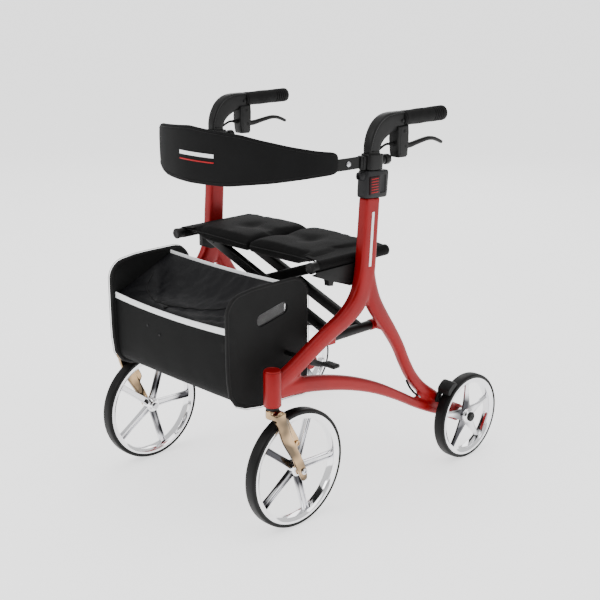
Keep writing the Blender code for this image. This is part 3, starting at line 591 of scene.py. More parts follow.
sideFrame = {
    "x": 0.240,
    "upright": [  # y, z, deep, wide
        (-0.0355, 0.650, 0.0412, 0.0256, 7.0), (-0.0389, 0.600, 0.0412, 0.0256, 7.0),
        (-0.0423, 0.550, 0.0422, 0.0260, 6.5), (-0.0454, 0.505, 0.0445, 0.0262, 5.0),
        (-0.053, 0.468, 0.0472, 0.0262, 3.8), (-0.071, 0.436, 0.0470, 0.0262, 3.2),
        (-0.104, 0.411, 0.0400, 0.0260, 3.0), (-0.148, 0.391, 0.0350, 0.0260, 2.9),
        (-0.198, 0.366, 0.0340, 0.0260, 2.9), (-0.250, 0.338, 0.0340, 0.0260, 2.9),
        (-0.3055, 0.312, 0.0340, 0.0260, 2.9),
    ],
    "rearLeg": [
        (-0.044, 0.512, 0.0380, 0.0240), (-0.036, 0.468, 0.0400, 0.0250), (-0.019, 0.427, 0.0370, 0.0250),
        (0.007, 0.389, 0.0330, 0.0245), (0.036, 0.351, 0.0290, 0.0240), (0.063, 0.311, 0.0260, 0.0240),
        (0.085, 0.270, 0.0250, 0.0240), (0.109, 0.232, 0.0250, 0.0240), (0.142, 0.196, 0.0260, 0.0240),
        (0.188, 0.161, 0.0280, 0.0240), (0.234, 0.126, 0.0300, 0.0240), (0.2705, 0.100, 0.0320, 0.0240),
    ],
    "lowerTube": [
        (-0.3055, 0.303, 0.0330, 0.0250), (-0.230, 0.299, 0.0340, 0.0250), (-0.155, 0.284, 0.0330, 0.0250),
        (-0.080, 0.262, 0.0300, 0.0245), (-0.005, 0.232, 0.0260, 0.0240), (0.070, 0.193, 0.0220, 0.0235),
        (0.130, 0.159, 0.0210, 0.0235), (0.190, 0.131, 0.0240, 0.0235), (0.2705, 0.100, 0.0280, 0.0235),
    ],
    "squareness": 2.9, "voxel": 0.0020, "fillet": 0.006, "smoothing": 4,
    "headX": 0.239, "headY": -0.3055, "headLow": 0.2752, "headHigh": 0.3468, "headRadius": 0.0177,
    "axleY": 0.2705, "axleZ": 0.100, "bossRadius": 0.0197,
    "lugs": [(-0.1485, -0.1225), (0.0025, 0.0285)], "lugX": 0.212, "lugZ": 0.365, "lugRadius": 0.0117,
    "bagStuds": [(-0.222, 0.353), (-0.205, 0.294)], "studRadius": 0.0050, "bagX": 0.1914,
    "stripeLow": 0.510, "stripeHigh": 0.622, "stripeWide": 0.0066,
}


def edgeRounded(low, high, radius, bevel):  # profile of a short bar with rounded rims
    return [
        (low, 0), (low, radius - bevel), (low + bevel * 0.3, radius - bevel * 0.3), (low + bevel, radius),
        (high - bevel, radius), (high - bevel * 0.3, radius - bevel * 0.3), (high, radius - bevel), (high, 0),
    ]


def buildSideFrame(look):
    x = look["x"]
    limbs = [
        sweptPiece(limb, planeStations(x, look[limb]), 24, look["squareness"], 4)
        for limb in ("upright", "rearLeg", "lowerTube")
    ]
    webs = [
        blockPiece("web", (look["lugX"], low + 0.002, look["lugZ"] - 0.006),
                   (x - 0.003, high - 0.002, look["lugZ"] + 0.012))
        for low, high in look["lugs"]
    ]
    skin = forgePiece(joinPieces(*limbs, *webs), look["voxel"], look["fillet"], look["smoothing"])
    headHigh = look["headHigh"] - look["headLow"]
    crisp = [
        turnedPiece("head", (look["headX"], look["headY"], look["headLow"]), (0, 0, 1),
                    edgeRounded(0, headHigh, look["headRadius"], 0.0012)),
        turnedPiece("boss", (0, look["axleY"], look["axleZ"]), (1, 0, 0),
                    edgeRounded(0.2275, 0.2527, look["bossRadius"], 0.0015)),
    ]
    for low, high in look["lugs"]:
        crisp.append(turnedPiece("lug", (look["lugX"], 0, look["lugZ"]), (0, 1, 0),
                                 edgeRounded(low, high, look["lugRadius"], 0.0012), 32))
    placeBoth(joinPieces(skin, *crisp), "SideFrame", "frame", red, "frame_red", ["side_frame"], 50)
    studs = []
    for y, z in look["bagStuds"]:
        studs.append(turnedPiece("stud", (0, y, z), (1, 0, 0),
                                 edgeRounded(look["bagX"], x - 0.002, look["studRadius"], 0.0008), 24))
    placeBoth(joinPieces(*studs), "BagStuds", "frame", blackMould, "frame_red")


def leanY(z):  # the upright's and post's axis
    return -0.0355 + 0.068 * (z - 0.650)


def buildStripe(look):  # plain reflective stripe on the outer face
    outer = look["x"] + 0.0126
    low = look["stripeLow"]
    high = look["stripeHigh"]
    half = look["stripeWide"] / 2
    outline = [(leanY(low) - half, low), (leanY(low) + half, low), (leanY(high) + half, high),
               (leanY(high) - half, high)]
    placeBoth(platePiece("stripe", outline, outer - 0.0010, outer + 0.0009, 0.0002, 2), "FrameStripe", "frame",
              reflectiveTape, "bag_panel")


headCap = {"radius": 0.0168, "high": 0.0034}


def buildHeadCap(look, onFrame):
    profile = [(0, 0), (0, look["radius"]), (0.0012, look["radius"]), (0.0024, look["radius"] - 0.0010),
               (0.0028, look["radius"] - 0.0030), (0.0022, look["radius"] - 0.0038), (look["high"] * 0.8, 0.006),
               (look["high"], 0)]
    cap = turnedPiece("cap", (onFrame["headX"], onFrame["headY"], 0.3473), (0, 0, 1), profile)
    placeBoth(cap, "HeadCap", "frame", red, "frame_red", ["head_cap"])


rearAxle = {"x": 0.274, "stub": 0.005, "cap": 0.0112}


def buildRearAxle(look, onFrame):
    cap = look["cap"]
    profile = [(-0.046, 0), (-0.046, look["stub"]), (0.0148, look["stub"]), (0.0148, cap - 0.0012), (0.0158, cap),
               (0.0180, cap), (0.0198, cap - 0.0016), (0.0204, cap - 0.0035), (0.0198, cap - 0.0042),
               (0.0198, 0.0030), (0.0206, 0.0020), (0.0206, 0)]
    axle = turnedPiece("axle", (look["x"], onFrame["axleY"], onFrame["axleZ"]), (1, 0, 0), profile)
    placeBoth(axle, "RearAxle", "frame", blackMould, "black_plastic", ["rear_axle"])


kerbPedal = {
    "x": 0.2215, "voxel": 0.0013,
    "arm": [(0.2585, 0.106, 0.018, 0.0085), (0.2785, 0.097, 0.018, 0.0085), (0.3005, 0.088, 0.015, 0.0085),
            (0.3205, 0.086, 0.012, 0.0085)],
    "treadLow": (0.183, 0.3065, 0.080), "treadHigh": (0.2255, 0.3325, 0.0905), "ribs": 6,
}


def buildKerbPedal(look):
    arm = sweptPiece("arm", planeStations(look["x"], look["arm"]), 20, 2.6, 5)
    low = Vector(look["treadLow"])
    high = Vector(look["treadHigh"])
    tread = blockPiece("tread", low, high, 0.003)
    pedal = forgePiece(joinPieces(arm, tread), look["voxel"], 0.002, 3)
    ribs = []
    for i in range(look["ribs"]):
        x = low.x + 0.005 + i * (high.x - low.x - 0.010) / (look["ribs"] - 1)
        ribs.append(blockPiece("rib", (x - 0.0011, low.y + 0.003, high.z - 0.001),
                               (x + 0.0011, high.y - 0.003, high.z + 0.0012), 0.0007, 2))
    placeBoth(joinPieces(pedal, *ribs), "KerbPedal", "frame", blackMould, "black_plastic", ["kerb_pedal"])


lowerCable = {
    "x": 0.240, "thick": 0.005,
    "path": [(0.0965, 0.2215), (0.1085, 0.2025), (0.1230, 0.1865), (0.1360, 0.1757)],
    "adjusterStart": (0.1368, 0.1751), "adjusterEnd": (0.1470, 0.1672),
}


def buildLowerCable(look):
    thick = look["thick"]
    path = [(look["x"], y, z, thick, thick) for y, z in look["path"]]
    placeBoth(sweptPiece("cable", path, 14, 2.0, 5), "LowerCable", "frame", gripRubber, "cable_black",
              ["brake_cable_lower"])
    start = Vector((look["x"], *look["adjusterStart"]))
    along = Vector((look["x"], *look["adjusterEnd"])) - start
    profile = [(0, 0), (0, 0.0024), (0.0006, 0.0030), (0.0030, 0.0030), (0.0032, 0.0042), (0.0088, 0.0042),
               (0.0090, 0.0032), (0.0096, 0.0026), (0.0102, 0.0032), (0.0108, 0.0026), (0.0114, 0.0032),
               (0.0125, 0.0028), (0.0125, 0)]
    placeBoth(turnedPiece("adjuster", start, along, profile, 24), "CableAdjuster", "frame", steel, "steel",
              ["cable_adjuster"])


heightCollar = {
    "x": 0.2409, "shift": 0.006, "squareness": 4.2,
    "stations": [  # z, deep, wide
        (0.6503, 0.0625, 0.0270), (0.6512, 0.0660, 0.0300), (0.6535, 0.0680, 0.0318), (0.6620, 0.0692, 0.0324),
        (0.6900, 0.0700, 0.0326), (0.7005, 0.0692, 0.0322), (0.7036, 0.0670, 0.0304), (0.7048, 0.0635, 0.0272),
    ],
    "post": (0.0342, 0.0192), "lugLow": (0.2305, -0.0700, 0.6880), "lugHigh": (0.2505, -0.0480, 0.7040),
    "pocketY": (-0.0545, -0.0255), "pocketZ": (0.6590, 0.6950), "slotZ": (0.6650, 0.6890),
    "screw": (-0.0750, 0.0090, 0.0048),
    "buttonX": (0.2552, 0.2594), "buttonInset": 0.0004, "lines": 6,
}


def postCutter(low, high, deep, wide):
    stations = [(0.240, leanY(z), z, deep, wide) for z in (low, high)]
    return sweptPiece("postCutter", stations, 28, 3.2, 1)


def buildHeightCollar(look):
    x = look["x"]
    stations = [(x, leanY(z) + look["shift"], z, deep, wide) for z, deep, wide in look["stations"]]
    collar = sweptPiece("collar", stations, 44, look["squareness"], 1)
    boolPiece(collar, [blockPiece("lug", look["lugLow"], look["lugHigh"], 0.0055, 4)], "UNION")
    yLow, yHigh = look["pocketY"]
    zLow, zHigh = look["pocketZ"]
    slotLow, slotHigh = look["slotZ"]
    screwY, screwDeep, screwRadius = look["screw"]
    boolPiece(collar, [
        postCutter(0.64, 0.72, look["post"][0] + 0.0010, look["post"][1] + 0.0010),
        blockPiece("pocket", (x + 0.0128, yLow, zLow), (x + 0.03, yHigh, zHigh), 0.0015),
        blockPiece("slot", (x - 0.0060, -0.0010, slotLow), (x + 0.0060, 0.03, slotHigh), 0.002),
        turnedPiece("screw", (x, screwY, 0.6960), (0, 1, 0), edgeRounded(0, screwDeep, screwRadius, 0.0003), 24),
        blockPiece("recess", (x + 0.0138, -0.0235, zLow), (x + 0.03, -0.0060, zHigh), 0.0015),
    ])
    placeBoth(collar, "HeightCollar", "frame", greyMould, "collar_grey", ["height_collar"])
    inset = look["buttonInset"]
    button = blockPiece("button", (look["buttonX"][0], yLow + inset, zLow + inset),
                        (look["buttonX"][1], yHigh - inset, zHigh - inset), 0.0012)
    placeBoth(button, "HeightButton", "height_button_body", padRed, "button_grey", ["height_button"])
    bars = []
    for i in range(look["lines"]):
        z = zLow + 0.0045 + i * (zHigh - zLow - 0.009) / (look["lines"] - 1)
        bars.append(blockPiece("line", (look["buttonX"][1] - 0.0006, yLow + 0.0030, z - 0.0008),
                               (look["buttonX"][1] + 0.0006, yHigh - 0.0060, z + 0.0008), 0.0004, 2))
    placeBoth(joinPieces(*bars), "HeightButtonLines", "height_button_body", paintRed, "button_grey")


railSaddle = {
    "x": (0.2130, 0.2262),
    "rightOutline": [(-0.100, 0.5155), (-0.100, 0.4800), (-0.075, 0.4700), (-0.030, 0.4680), (-0.030, 0.5155)],
    "leftOutline": [(-0.172, 0.5155), (-0.172, 0.5060), (-0.150, 0.4975), (-0.137, 0.4935), (-0.137, 0.4810),
                (-0.124, 0.4790), (-0.124, 0.4890), (-0.075, 0.4700), (-0.030, 0.4680), (-0.030, 0.5155)],
    "seat": 0.0141, "railX": 0.212, "railZ": 0.522,
}


def buildRailSaddle(look):
    for side, s in sides.items():
        low, high = look["x"]
        saddle = platePiece(side + "RailSaddle", look[side + "Outline"], s * low, s * high, 0.0012, 2)
        boolPiece(saddle, [turnedPiece("seat", (s * look["railX"], 0, look["railZ"]), (0, 1, 0),
                                       [(-0.3, 0), (-0.3, look["seat"]), (0.1, look["seat"]), (0.1, 0)])])
        place(saddle, side + "_frame", blackMould, "black_plastic", [side + "_rail_saddle"])


buildSideFrame(sideFrame)
buildStripe(sideFrame)
buildHeadCap(headCap, sideFrame)
buildRearAxle(rearAxle, sideFrame)
buildKerbPedal(kerbPedal)
buildLowerCable(lowerCable)
buildHeightCollar(heightCollar)
buildRailSaddle(railSaddle)
print("side frames built")


# wheels and casters

casterFork = {
    "x": 0.239, "y": -0.3055, "top": 0.2745, "crownRadius": 0.0142, "bridge": (-0.0085, 0.0262),
    "arm": [  # x from the wheel's middle plane, y, z, deep, wide
        (0.0165, -0.3055, 0.2600, 0.0250, 0.0190), (0.0195, -0.3010, 0.2440, 0.0258, 0.0140),
        (0.0205, -0.2960, 0.2300, 0.0252, 0.0122), (0.0205, -0.2845, 0.2000, 0.0238, 0.0120),
        (0.0205, -0.2635, 0.1630, 0.0212, 0.0120), (0.0205, -0.2455, 0.1250, 0.0200, 0.0118),
        (0.0205, -0.2395, 0.1050, 0.0140, 0.0100),
    ],
    "fin": [(-0.2960, 0.2520), (-0.2850, 0.2500), (-0.2570, 0.2010), (-0.2535, 0.1910), (-0.2580, 0.1815),
            (-0.2700, 0.1800)],
    "finX": (0.0165, 0.0235), "boss": (-0.2618, 0.1905, 0.0062), "voxel": 0.0013, "fillet": 0.0025,
}


def buildCasterFork(look):
    x = look["x"]
    y = look["y"]
    crown = turnedPiece("crown", (x, y, 0), (0, 0, 1),
                        edgeRounded(0.2495, look["top"] - 0.006, look["crownRadius"], 0.0015), 40)
    inner, outer = look["bridge"]
    bridge = blockPiece("bridge", (x + inner, y - 0.0132, 0.2497), (x + outer, y + 0.0138, 0.2645), 0.0045, 4)
    arm = sweptPiece("arm", [(x + entry[0], *entry[1:]) for entry in look["arm"]], 28, 4.0, 6, 0.8)
    fin = platePiece("fin", look["fin"], x + look["finX"][0], x + look["finX"][1], 0.0015)
    fork = forgePiece(joinPieces(crown, bridge, arm, fin), look["voxel"], look["fillet"], 4)
    bossY, bossZ, r = look["boss"]
    boss = turnedPiece("boss", (x, bossY, bossZ), (1, 0, 0), [
        (0.0200, 0), (0.0200, r), (0.0256, r), (0.0262, r - 0.0008), (0.0262, r * 0.62), (0.0250, r * 0.56),
        (0.0250, 0)], 32)
    # the fork's brown colour and dark blotches are painted reflections, not the chrome's own colour
    placeBoth(joinPieces(fork, boss), "CasterFork", "caster", forkChromePaintedReflections, "chrome", ["caster_fork"], 50)
    bearing = turnedPiece("bearing", (x, y, 0), (0, 0, 1),
                          edgeRounded(look["top"] - 0.0065, look["top"] + 0.0004, look["crownRadius"] - 0.0010,
                                      0.0010), 40)
    placeBoth(bearing, "CasterBearing", "caster", blackMould, "chrome")
    stem = turnedPiece("stem", (x, y, 0), (0, 0, 1), edgeRounded(0.2478, 0.335, 0.006, 0.0008), 24)
    placeBoth(stem, "CasterStem", "caster", steel, "steel", ["caster_stem"])


frontAxle = {"radius": 0.004, "inner": -0.0175, "outer": 0.0270, "head": 0.0068}


def buildFrontAxle(look, fork):
    low = look["inner"]
    high = look["outer"]
    r = look["radius"]
    h = look["head"]
    profile = [(low - 0.0036, 0), (low - 0.0036, h - 0.0012), (low - 0.0026, h), (low, h), (low, r), (high, r),
               (high, h), (high + 0.0024, h), (high + 0.0036, h - 0.0014), (high + 0.0036, 0.0032),
               (high + 0.0018, 0.0030), (high + 0.0018, 0)]
    axle = turnedPiece("axle", (fork["x"], -0.2455, 0.125), (1, 0, 0), profile, 32)
    placeBoth(axle, "FrontAxle", "caster", steel, "steel", ["front_axle"])


wheelLooks = {
    "Front": {
        "node": "front_tyre", "x": 0.239, "hub": [(-0.0168, 0.0110), (-0.0110, 0.0118), (-0.0090, 0.0158),
                                                  (0.0090, 0.0158), (0.0110, 0.0118), (0.0138, 0.0110)],
        "bore": 0.0044, "reach": 0.012, "shift": 0.0, "thick": 0.0110, "spoke": [(0.012, 0.0160), (0.030, 0.0142),
                                                                  (0.075, 0.0132), (0.1070, 0.0150)],
        "section": [(-1, -0.75), (-0.85, -1), (-0.60, -1), (-0.48, -0.35), (0.48, -0.35), (0.60, -1), (0.85, -1),
                    (1, -0.75), (1, 0.75), (0.85, 1), (0.60, 1), (0.48, 0.35), (-0.48, 0.35), (-0.60, 1), (-0.85, 1),
                    (-1, 0.75)],
        "phase": -0.028,
    },
    "Rear": {
        "node": "rear_tyre", "x": 0.274, "hub": [(-0.0205, 0.0130), (-0.0120, 0.0140), (-0.0080, 0.0185),
                                                 (0.0095, 0.0175), (0.0125, 0.0150), (0.0144, 0.0125)],
        "bore": 0.0054, "reach": 0.014, "shift": 0.001, "thick": 0.0105, "spoke": [(0.012, 0.0290), (0.030, 0.0215),
                                                                    (0.055, 0.0135), (0.0820, 0.0115)],
        "section": [(-1, -0.35), (-0.12, -1), (0.12, -1), (1, -0.35), (1, 0.35), (0.12, 1), (-0.12, 1), (-1, 0.35)],
        "phase": 0.25,
    },
}
wheelRim = {"tyreDeep": 0.0085, "lip": 0.0129, "face": 0.0120, "barrel": 0.0082, "spokes": 5}


def buildWheel(look, rim, kind):
    low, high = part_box("left_" + look["node"])
    radius = (high.z - low.z) / 2
    centre = Vector((look["x"], (low.y + high.y) / 2, (low.z + high.z) / 2))
    bed = radius - rim["tyreDeep"]
    inner = bed - rim["face"]
    lip = rim["lip"]
    half = [(lip - 0.0012, bed + 0.0006), (lip, bed - 0.0004), (lip + 0.0003, bed - 0.0022),
            (lip - 0.0006, bed - 0.0052), (lip - 0.0030, inner + 0.0028), (rim["barrel"] + 0.0006, inner + 0.0006),
            (rim["barrel"] - 0.0012, inner)]
    profile = half + [(-d, r) for d, r in reversed(half)]
    body = turnedPiece("rim", centre, (1, 0, 0), profile, 112, True)
    bore = look["bore"]
    hubProfile = [(look["hub"][0][0], bore)] + look["hub"] + [(look["hub"][-1][0], bore)]
    hub = turnedPiece("hub", centre, (1, 0, 0), hubProfile, 48, True)
    spokes = []
    for i in range(rim["spokes"]):
        angle = 2 * math.pi * (i + look["phase"]) / rim["spokes"]
        along = Vector((0, math.cos(angle), math.sin(angle)))
        beside = Vector((0, -math.sin(angle), math.cos(angle)))
        rings = []
        for reach, wide in curveThrough(look["spoke"], 5):
            point = centre + along * reach + Vector((look["shift"], 0, 0))
            rings.append([point + beside * (u * wide / 2) + Vector((v * look["thick"] / 2, 0, 0))
                          for u, v in look["section"]])
        spokes.append(loftPiece("spoke", rings))
    bodyName = kind.lower() + "_wheel_body"
    placeBoth(joinPieces(body, hub), kind + "Wheel", bodyName, chrome, "chrome", [kind.lower() + "_wheel"], 40)
    # the spoke finish paints dark and bright reflection blotches into the chrome's colour
    placeBoth(joinPieces(*spokes), kind + "WheelSpokes", bodyName, spokeChromePaintedReflections, "chrome", (), 40)
    tyreHalf = [(0.0126, bed - 0.0002), (0.0133, bed + 0.0016), (0.0135, bed + 0.0038), (0.0130, radius - 0.0026),
                (0.0114, radius - 0.0012), (0.0090, radius - 0.0004), (0.0045, radius - 0.0001)]
    tyre = tyreHalf + [(0, radius)] + [(-d, r) for d, r in reversed(tyreHalf)]
    placeBoth(turnedPiece("tyre", centre, (1, 0, 0), tyre, 112, True), kind + "Tyre", bodyName, tyreRubber,
              "tyre_black", [kind.lower() + "_tyre"])


brakeShoe = {
    "x": 0.2563, "y": 0.190, "z": 0.157,
    "arm": [(-0.003, -0.007, 0.016), (0.004, 0.009, 0.0165), (0.013, 0.029, 0.017), (0.016, 0.036, 0.012)],
    "wide": 0.0052, "angle": 128, "pad": 0.109, "padX": (0.2540, 0.2860),
    "padShape": [(-1, -1), (0.1, -1.02), (0.8, -0.75), (1, -0.4), (1, 0.4), (0.8, 0.75), (0.1, 1.02), (-1, 1)],
}


def buildBrakeShoe(look):
    stations = [(look["x"], look["y"] + a, look["z"] + b, deep, look["wide"]) for a, b, deep in look["arm"]]
    arm = sweptPiece("arm", stations, 20, 3.0, 5)
    angle = math.radians(look["angle"])
    outward = Vector((0, math.cos(angle), math.sin(angle)))
    around = Vector((0, -outward.z, outward.y))
    low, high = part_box("left_rear_tyre")
    axle = Vector((0, (low.y + high.y) / 2, (low.z + high.z) / 2))
    centre = axle + outward * look["pad"]
    rings = []
    first, last = look["padX"]
    for x, scale in ((first, 0.90), (first + 0.0012, 1.0), (last - 0.0012, 1.0), (last, 0.90)):
        rings.append([centre + outward * (u * 0.008 * scale) + around * (v * 0.017 * scale) + Vector((x, 0, 0))
                      for u, v in look["padShape"]])
    pad = loftPiece("pad", rings)
    tread = turnedPiece("tread", (0, axle.y, axle.z), (1, 0, 0), [
        (0.2601, 0), (0.2601, 0.1038), (0.30, 0.1038), (0.30, 0)], 160)
    boolPiece(pad, [tread])
    bolt = turnedPiece("bolt", (0, look["y"], look["z"]), (1, 0, 0), edgeRounded(0.2455, 0.2612, 0.0042, 0.0008), 20)
    placeBoth(joinPieces(arm, pad, bolt), "BrakeShoe", "brake_shoe_body", blackMould, "black_plastic",
              ["brake_shoe"])


buildCasterFork(casterFork)
buildFrontAxle(frontAxle, casterFork)
for kind, look in wheelLooks.items():
    buildWheel(look, wheelRim, kind)
buildBrakeShoe(brakeShoe)
print("wheels and casters built")


# handles

handlePost = {
    "x": 0.240, "squareness": 3.2,
    "straight": [(-0.0469, 0.482, 0.0340, 0.0190), (-0.0389, 0.600, 0.0340, 0.0190),
                 (-0.0321, 0.700, 0.0340, 0.0190), (-0.0292, 0.742, 0.0340, 0.0190)],
    "web": [(-0.0292, 0.742, 0.0335, 0.0150), (-0.0240, 0.7625, 0.0385, 0.0150), (-0.0125, 0.7785, 0.0425, 0.0155),
            (0.0050, 0.7895, 0.0430, 0.0160), (0.0240, 0.7955, 0.0400, 0.0170), (0.0440, 0.7975, 0.0370, 0.0185),
            (0.0600, 0.7990, 0.0320, 0.0200)],
    "flange": [(-0.0440, 0.7380, 0.0065, 0.0200), (-0.0425, 0.7560, 0.0070, 0.0215),
               (-0.0360, 0.7760, 0.0075, 0.0225), (-0.0230, 0.7950, 0.0078, 0.0230),
               (-0.0040, 0.8075, 0.0075, 0.0230), (0.0180, 0.8125, 0.0065, 0.0220),
               (0.0450, 0.8125, 0.0050, 0.0200), (0.0650, 0.8110, 0.0040, 0.0170)],
}


def buildHandlePost(look):
    x = look["x"]
    straight = sweptPiece("post", planeStations(x, look["straight"]), 28, look["squareness"], 2)
    web = sweptPiece("web", planeStations(x, look["web"]), 28, 3.6, 6)
    flange = sweptPiece("flange", planeStations(x, look["flange"]), 20, 3.0, 6, 0.6)
    screw = turnedPiece("screw", (0, 0.0500, 0.7965), (1, 0, 0),
                        edgeRounded(x - 0.0118, x + 0.0118, 0.0035, 0.0006), 20)
    placeBoth(joinPieces(straight, web, flange, screw), "HandlePost", "handle", blackMould, "handle_black",
              ["handle_post"], 40)


handleGrip = {"front": 0.0545, "rear": 0.1915, "radius": 0.0160, "ribs": 5, "ribFirst": 0.1480, "ribPitch": 0.0062}


def buildHandleGrip(look):
    low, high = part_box("left_handle_grip")
    centre = ((low.x + high.x) / 2, 0, (low.z + high.z) / 2)
    radius = look["radius"]
    profile = [(look["front"], 0), (look["front"], radius - 0.0028), (look["front"] + 0.0012, radius - 0.0008),
               (look["front"] + 0.0042, radius - 0.0002), (look["front"] + 0.0048, radius - 0.0012),
               (look["front"] + 0.0060, radius - 0.0012), (look["front"] + 0.0066, radius - 0.0004)]
    profile += [(0.082, radius - 0.0008), (0.107, radius), (0.132, radius - 0.0006)]
    for i in range(look["ribs"]):
        y = look["ribFirst"] + i * look["ribPitch"]
        profile += [(y, radius - 0.0003), (y + 0.0010, radius - 0.0014), (y + 0.0022, radius - 0.0014),
                    (y + 0.0032, radius - 0.0001)]
    rear = look["rear"]
    profile += [(rear - 0.0080, radius), (rear - 0.0040, radius - 0.0008), (rear - 0.0014, radius - 0.0036),
                (rear - 0.0002, radius - 0.0075), (rear - 0.0002, 0.0060), (rear - 0.0010, 0.0052),
                (rear - 0.0010, 0)]
    grip = turnedPiece("grip", centre, (0, 1, 0), profile, 56)
    palm = pointsOf(grip)  # slightly taller than wide
    palm[:, 0] = centre[0] + (palm[:, 0] - centre[0]) * 0.97
    setPoints(grip, palm)
    placeBoth(grip, "HandleGrip", "handle", gripRubber, "grip_rubber", ["handle_grip"])


brakeHousing = {
    "x": 0.240,
    "outline": [  # y, z
        (0.0345, 0.7855), (0.0325, 0.7600), (0.0360, 0.7300), (0.0385, 0.7225), (0.0600, 0.7215), (0.0650, 0.7250),
        (0.0660, 0.7560), (0.0680, 0.7700), (0.0665, 0.7868),
    ],
    "half": 0.0130, "slotHalf": 0.0062, "slotY": 0.0490, "slotZ": (0.7285, 0.7605), "pivot": (0.056, 0.744),
    "ridgeY": 0.0400,
}


def buildBrakeHousing(look):
    x = look["x"]
    half = look["half"]
    housing = platePiece("housing", look["outline"], x - half, x + half, 0.0030, 4)
    slotLow, slotHigh = look["slotZ"]
    boolPiece(housing, [
        blockPiece("slot", (x - look["slotHalf"], look["slotY"], slotLow), (x + look["slotHalf"], 0.09, slotHigh),
                   0.0015),
        turnedPiece("pin", (0, *look["pivot"]), (1, 0, 0), edgeRounded(x - 0.02, x + 0.02, 0.0028, 0.0002), 20),
    ])
    extras = []
    for d in (-1, 1):
        face = x + d * half
        ridge = [(face - d * 0.0004, look["ridgeY"] + 0.0020, z, 0.0022, 0.0022) for z in (0.7270, 0.7400, 0.7600,
                0.7820)]
        extras.append(sweptPiece("ridge", ridge, 10, 2.0, 2, 1.0))
        extras.append(turnedPiece("boss", (face, 0.0545, 0.7745), (d, 0, 0),
                                  [(-0.001, 0), (-0.001, 0.0042), (0.0006, 0.0042), (0.0010, 0.0036),
                                  (0.0010, 0.0022),
                                   (0.0002, 0.0018), (0.0002, 0)], 24))
    placeBoth(joinPieces(housing, *extras), "BrakeHousing", "handle", blackMould, "handle_black", ["brake_housing"])


brakeLever = {
    "x": 0.240, "pin": 0.0025,
    "path": [  # y, z, deep, wide
        (0.0505, 0.7440, 0.0090, 0.0080), (0.0600, 0.7446, 0.0130, 0.0084), (0.0720, 0.7432, 0.0125, 0.0086),
        (0.0850, 0.7428, 0.0115, 0.0090), (0.1000, 0.7450, 0.0103, 0.0096), (0.1180, 0.7478, 0.0096, 0.0102),
        (0.1400, 0.7505, 0.0090, 0.0106), (0.1580, 0.7492, 0.0084, 0.0106), (0.1740, 0.7442, 0.0078, 0.0100),
        (0.1870, 0.7385, 0.0070, 0.0084),
    ],
}


def buildBrakeLever(look):
    lever = sweptPiece("lever", planeStations(look["x"], look["path"]), 20, 2.8, 4, 0.8)
    pin = turnedPiece("pin", (0, *brakeHousing["pivot"]), (1, 0, 0),
                      edgeRounded(look["x"] - 0.0126, look["x"] + 0.0126, look["pin"], 0.0004), 20)
    placeBoth(joinPieces(lever, pin), "BrakeLever", "brake_lever_body", powderBlack, "black_metal", ["brake_lever"])


upperCable = {
    "x": 0.240, "thick": 0.005,
    "path": [(0.0345, 0.7490), (0.0260, 0.7510), (0.0140, 0.7520), (0.0030, 0.7495), (-0.0090, 0.7440)],
}


def buildUpperCable(look):
    path = [(look["x"], y, z, look["thick"], look["thick"]) for y, z in look["path"]]
    cable = sweptPiece("cable", path, 14, 2.0, 6)
    boot = turnedPiece("boot", (look["x"], 0.0210, 0.7518), (0, 1, -0.14),
                       [(0, 0), (0, 0.0030), (0.001, 0.0036), (0.006, 0.0038), (0.010, 0.0046), (0.0135, 0.0048),
                        (0.0135, 0)], 20)
    placeBoth(joinPieces(cable, boot), "UpperCable", "handle", gripRubber, "cable_black", ["brake_cable_upper"])


backBracket = {
    "x": 0.240, "low": 0.7062, "high": 0.7378, "deep": 0.0450, "wide": 0.0290, "post": (0.0342, 0.0192),
    "barHalf": 0.0020, "bar": [(-0.0480, 0.0), (-0.0800, -0.0002), (-0.1050, -0.0012), (-0.1250, -0.0036),
                               (-0.1380, -0.0062)],
    "barZ": (0.7125, 0.7365), "rivet": (-0.1000, 0.7245), "rivetRadius": 0.0058,
}


def buildBackBracket(look):
    x = look["x"]
    low = look["low"]
    high = look["high"]
    stations = []
    for z, shrink in ((low, 0.0022), (low + 0.0012, 0.0004), (low + 0.003, 0), (high - 0.003, 0),
                      (high - 0.0012, 0.0004), (high, 0.0022)):
        stations.append((x, leanY(z), z, look["deep"] - shrink, look["wide"] - shrink))
    band = sweptPiece("band", stations, 40, 4.5, 1)
    boolPiece(band, [postCutter(0.69, 0.76, look["post"][0] + 0.001, look["post"][1] + 0.001)])
    zLow, zHigh = look["barZ"]
    half = look["barHalf"]
    middleBar = (zLow + zHigh) / 2
    bar = sweptPiece("bar", [(x + shift, y, middleBar, zHigh - zLow, half * 2) for y, shift in look["bar"]], 28,
                     9.0, 4)
    clamp = blockPiece("clamp", (x - 0.0066, -0.0620, low + 0.0014), (x + 0.0066, -0.0470, high - 0.0014), 0.0016)
    fold = blockPiece("fold", (x - 0.0052, -0.0680, zLow - 0.0012), (x + 0.0052, -0.0610, zHigh + 0.0008), 0.0012)
    middle = (low + high) / 2
    neck = turnedPiece("neck", (x, 0, middle), (0, 1, 0), edgeRounded(-0.009, 0.003, 0.0088, 0.0012), 32)
    boolPiece(neck, [turnedPiece("bore", (x, 0, middle), (0, 1, 0), edgeRounded(-0.02, 0.02, 0.0034, 0.0001), 20)])
    placeBoth(joinPieces(band, bar, clamp, fold, neck), "BackBracket", "handle", powderBlack, "black_metal",
              ["backrest_bracket"])
    y, z = look["rivet"]
    r = look["rivetRadius"]
    dome = [(half - 0.0002, 0), (half - 0.0002, r), (half + 0.0006, r), (half + 0.0016, r * 0.88),
            (half + 0.0026, r * 0.60), (half + 0.0031, r * 0.30), (half + 0.0032, 0)]
    heads = [turnedPiece("rivet", (x, y, z), (d, 0, 0), dome, 32) for d in (-1, 1)]
    placeBoth(joinPieces(*heads), "BackRivet", "handle", steel, "black_metal")


backKnob = {"x": 0.240, "z": 0.722, "radius": 0.0108, "lobes": 8}


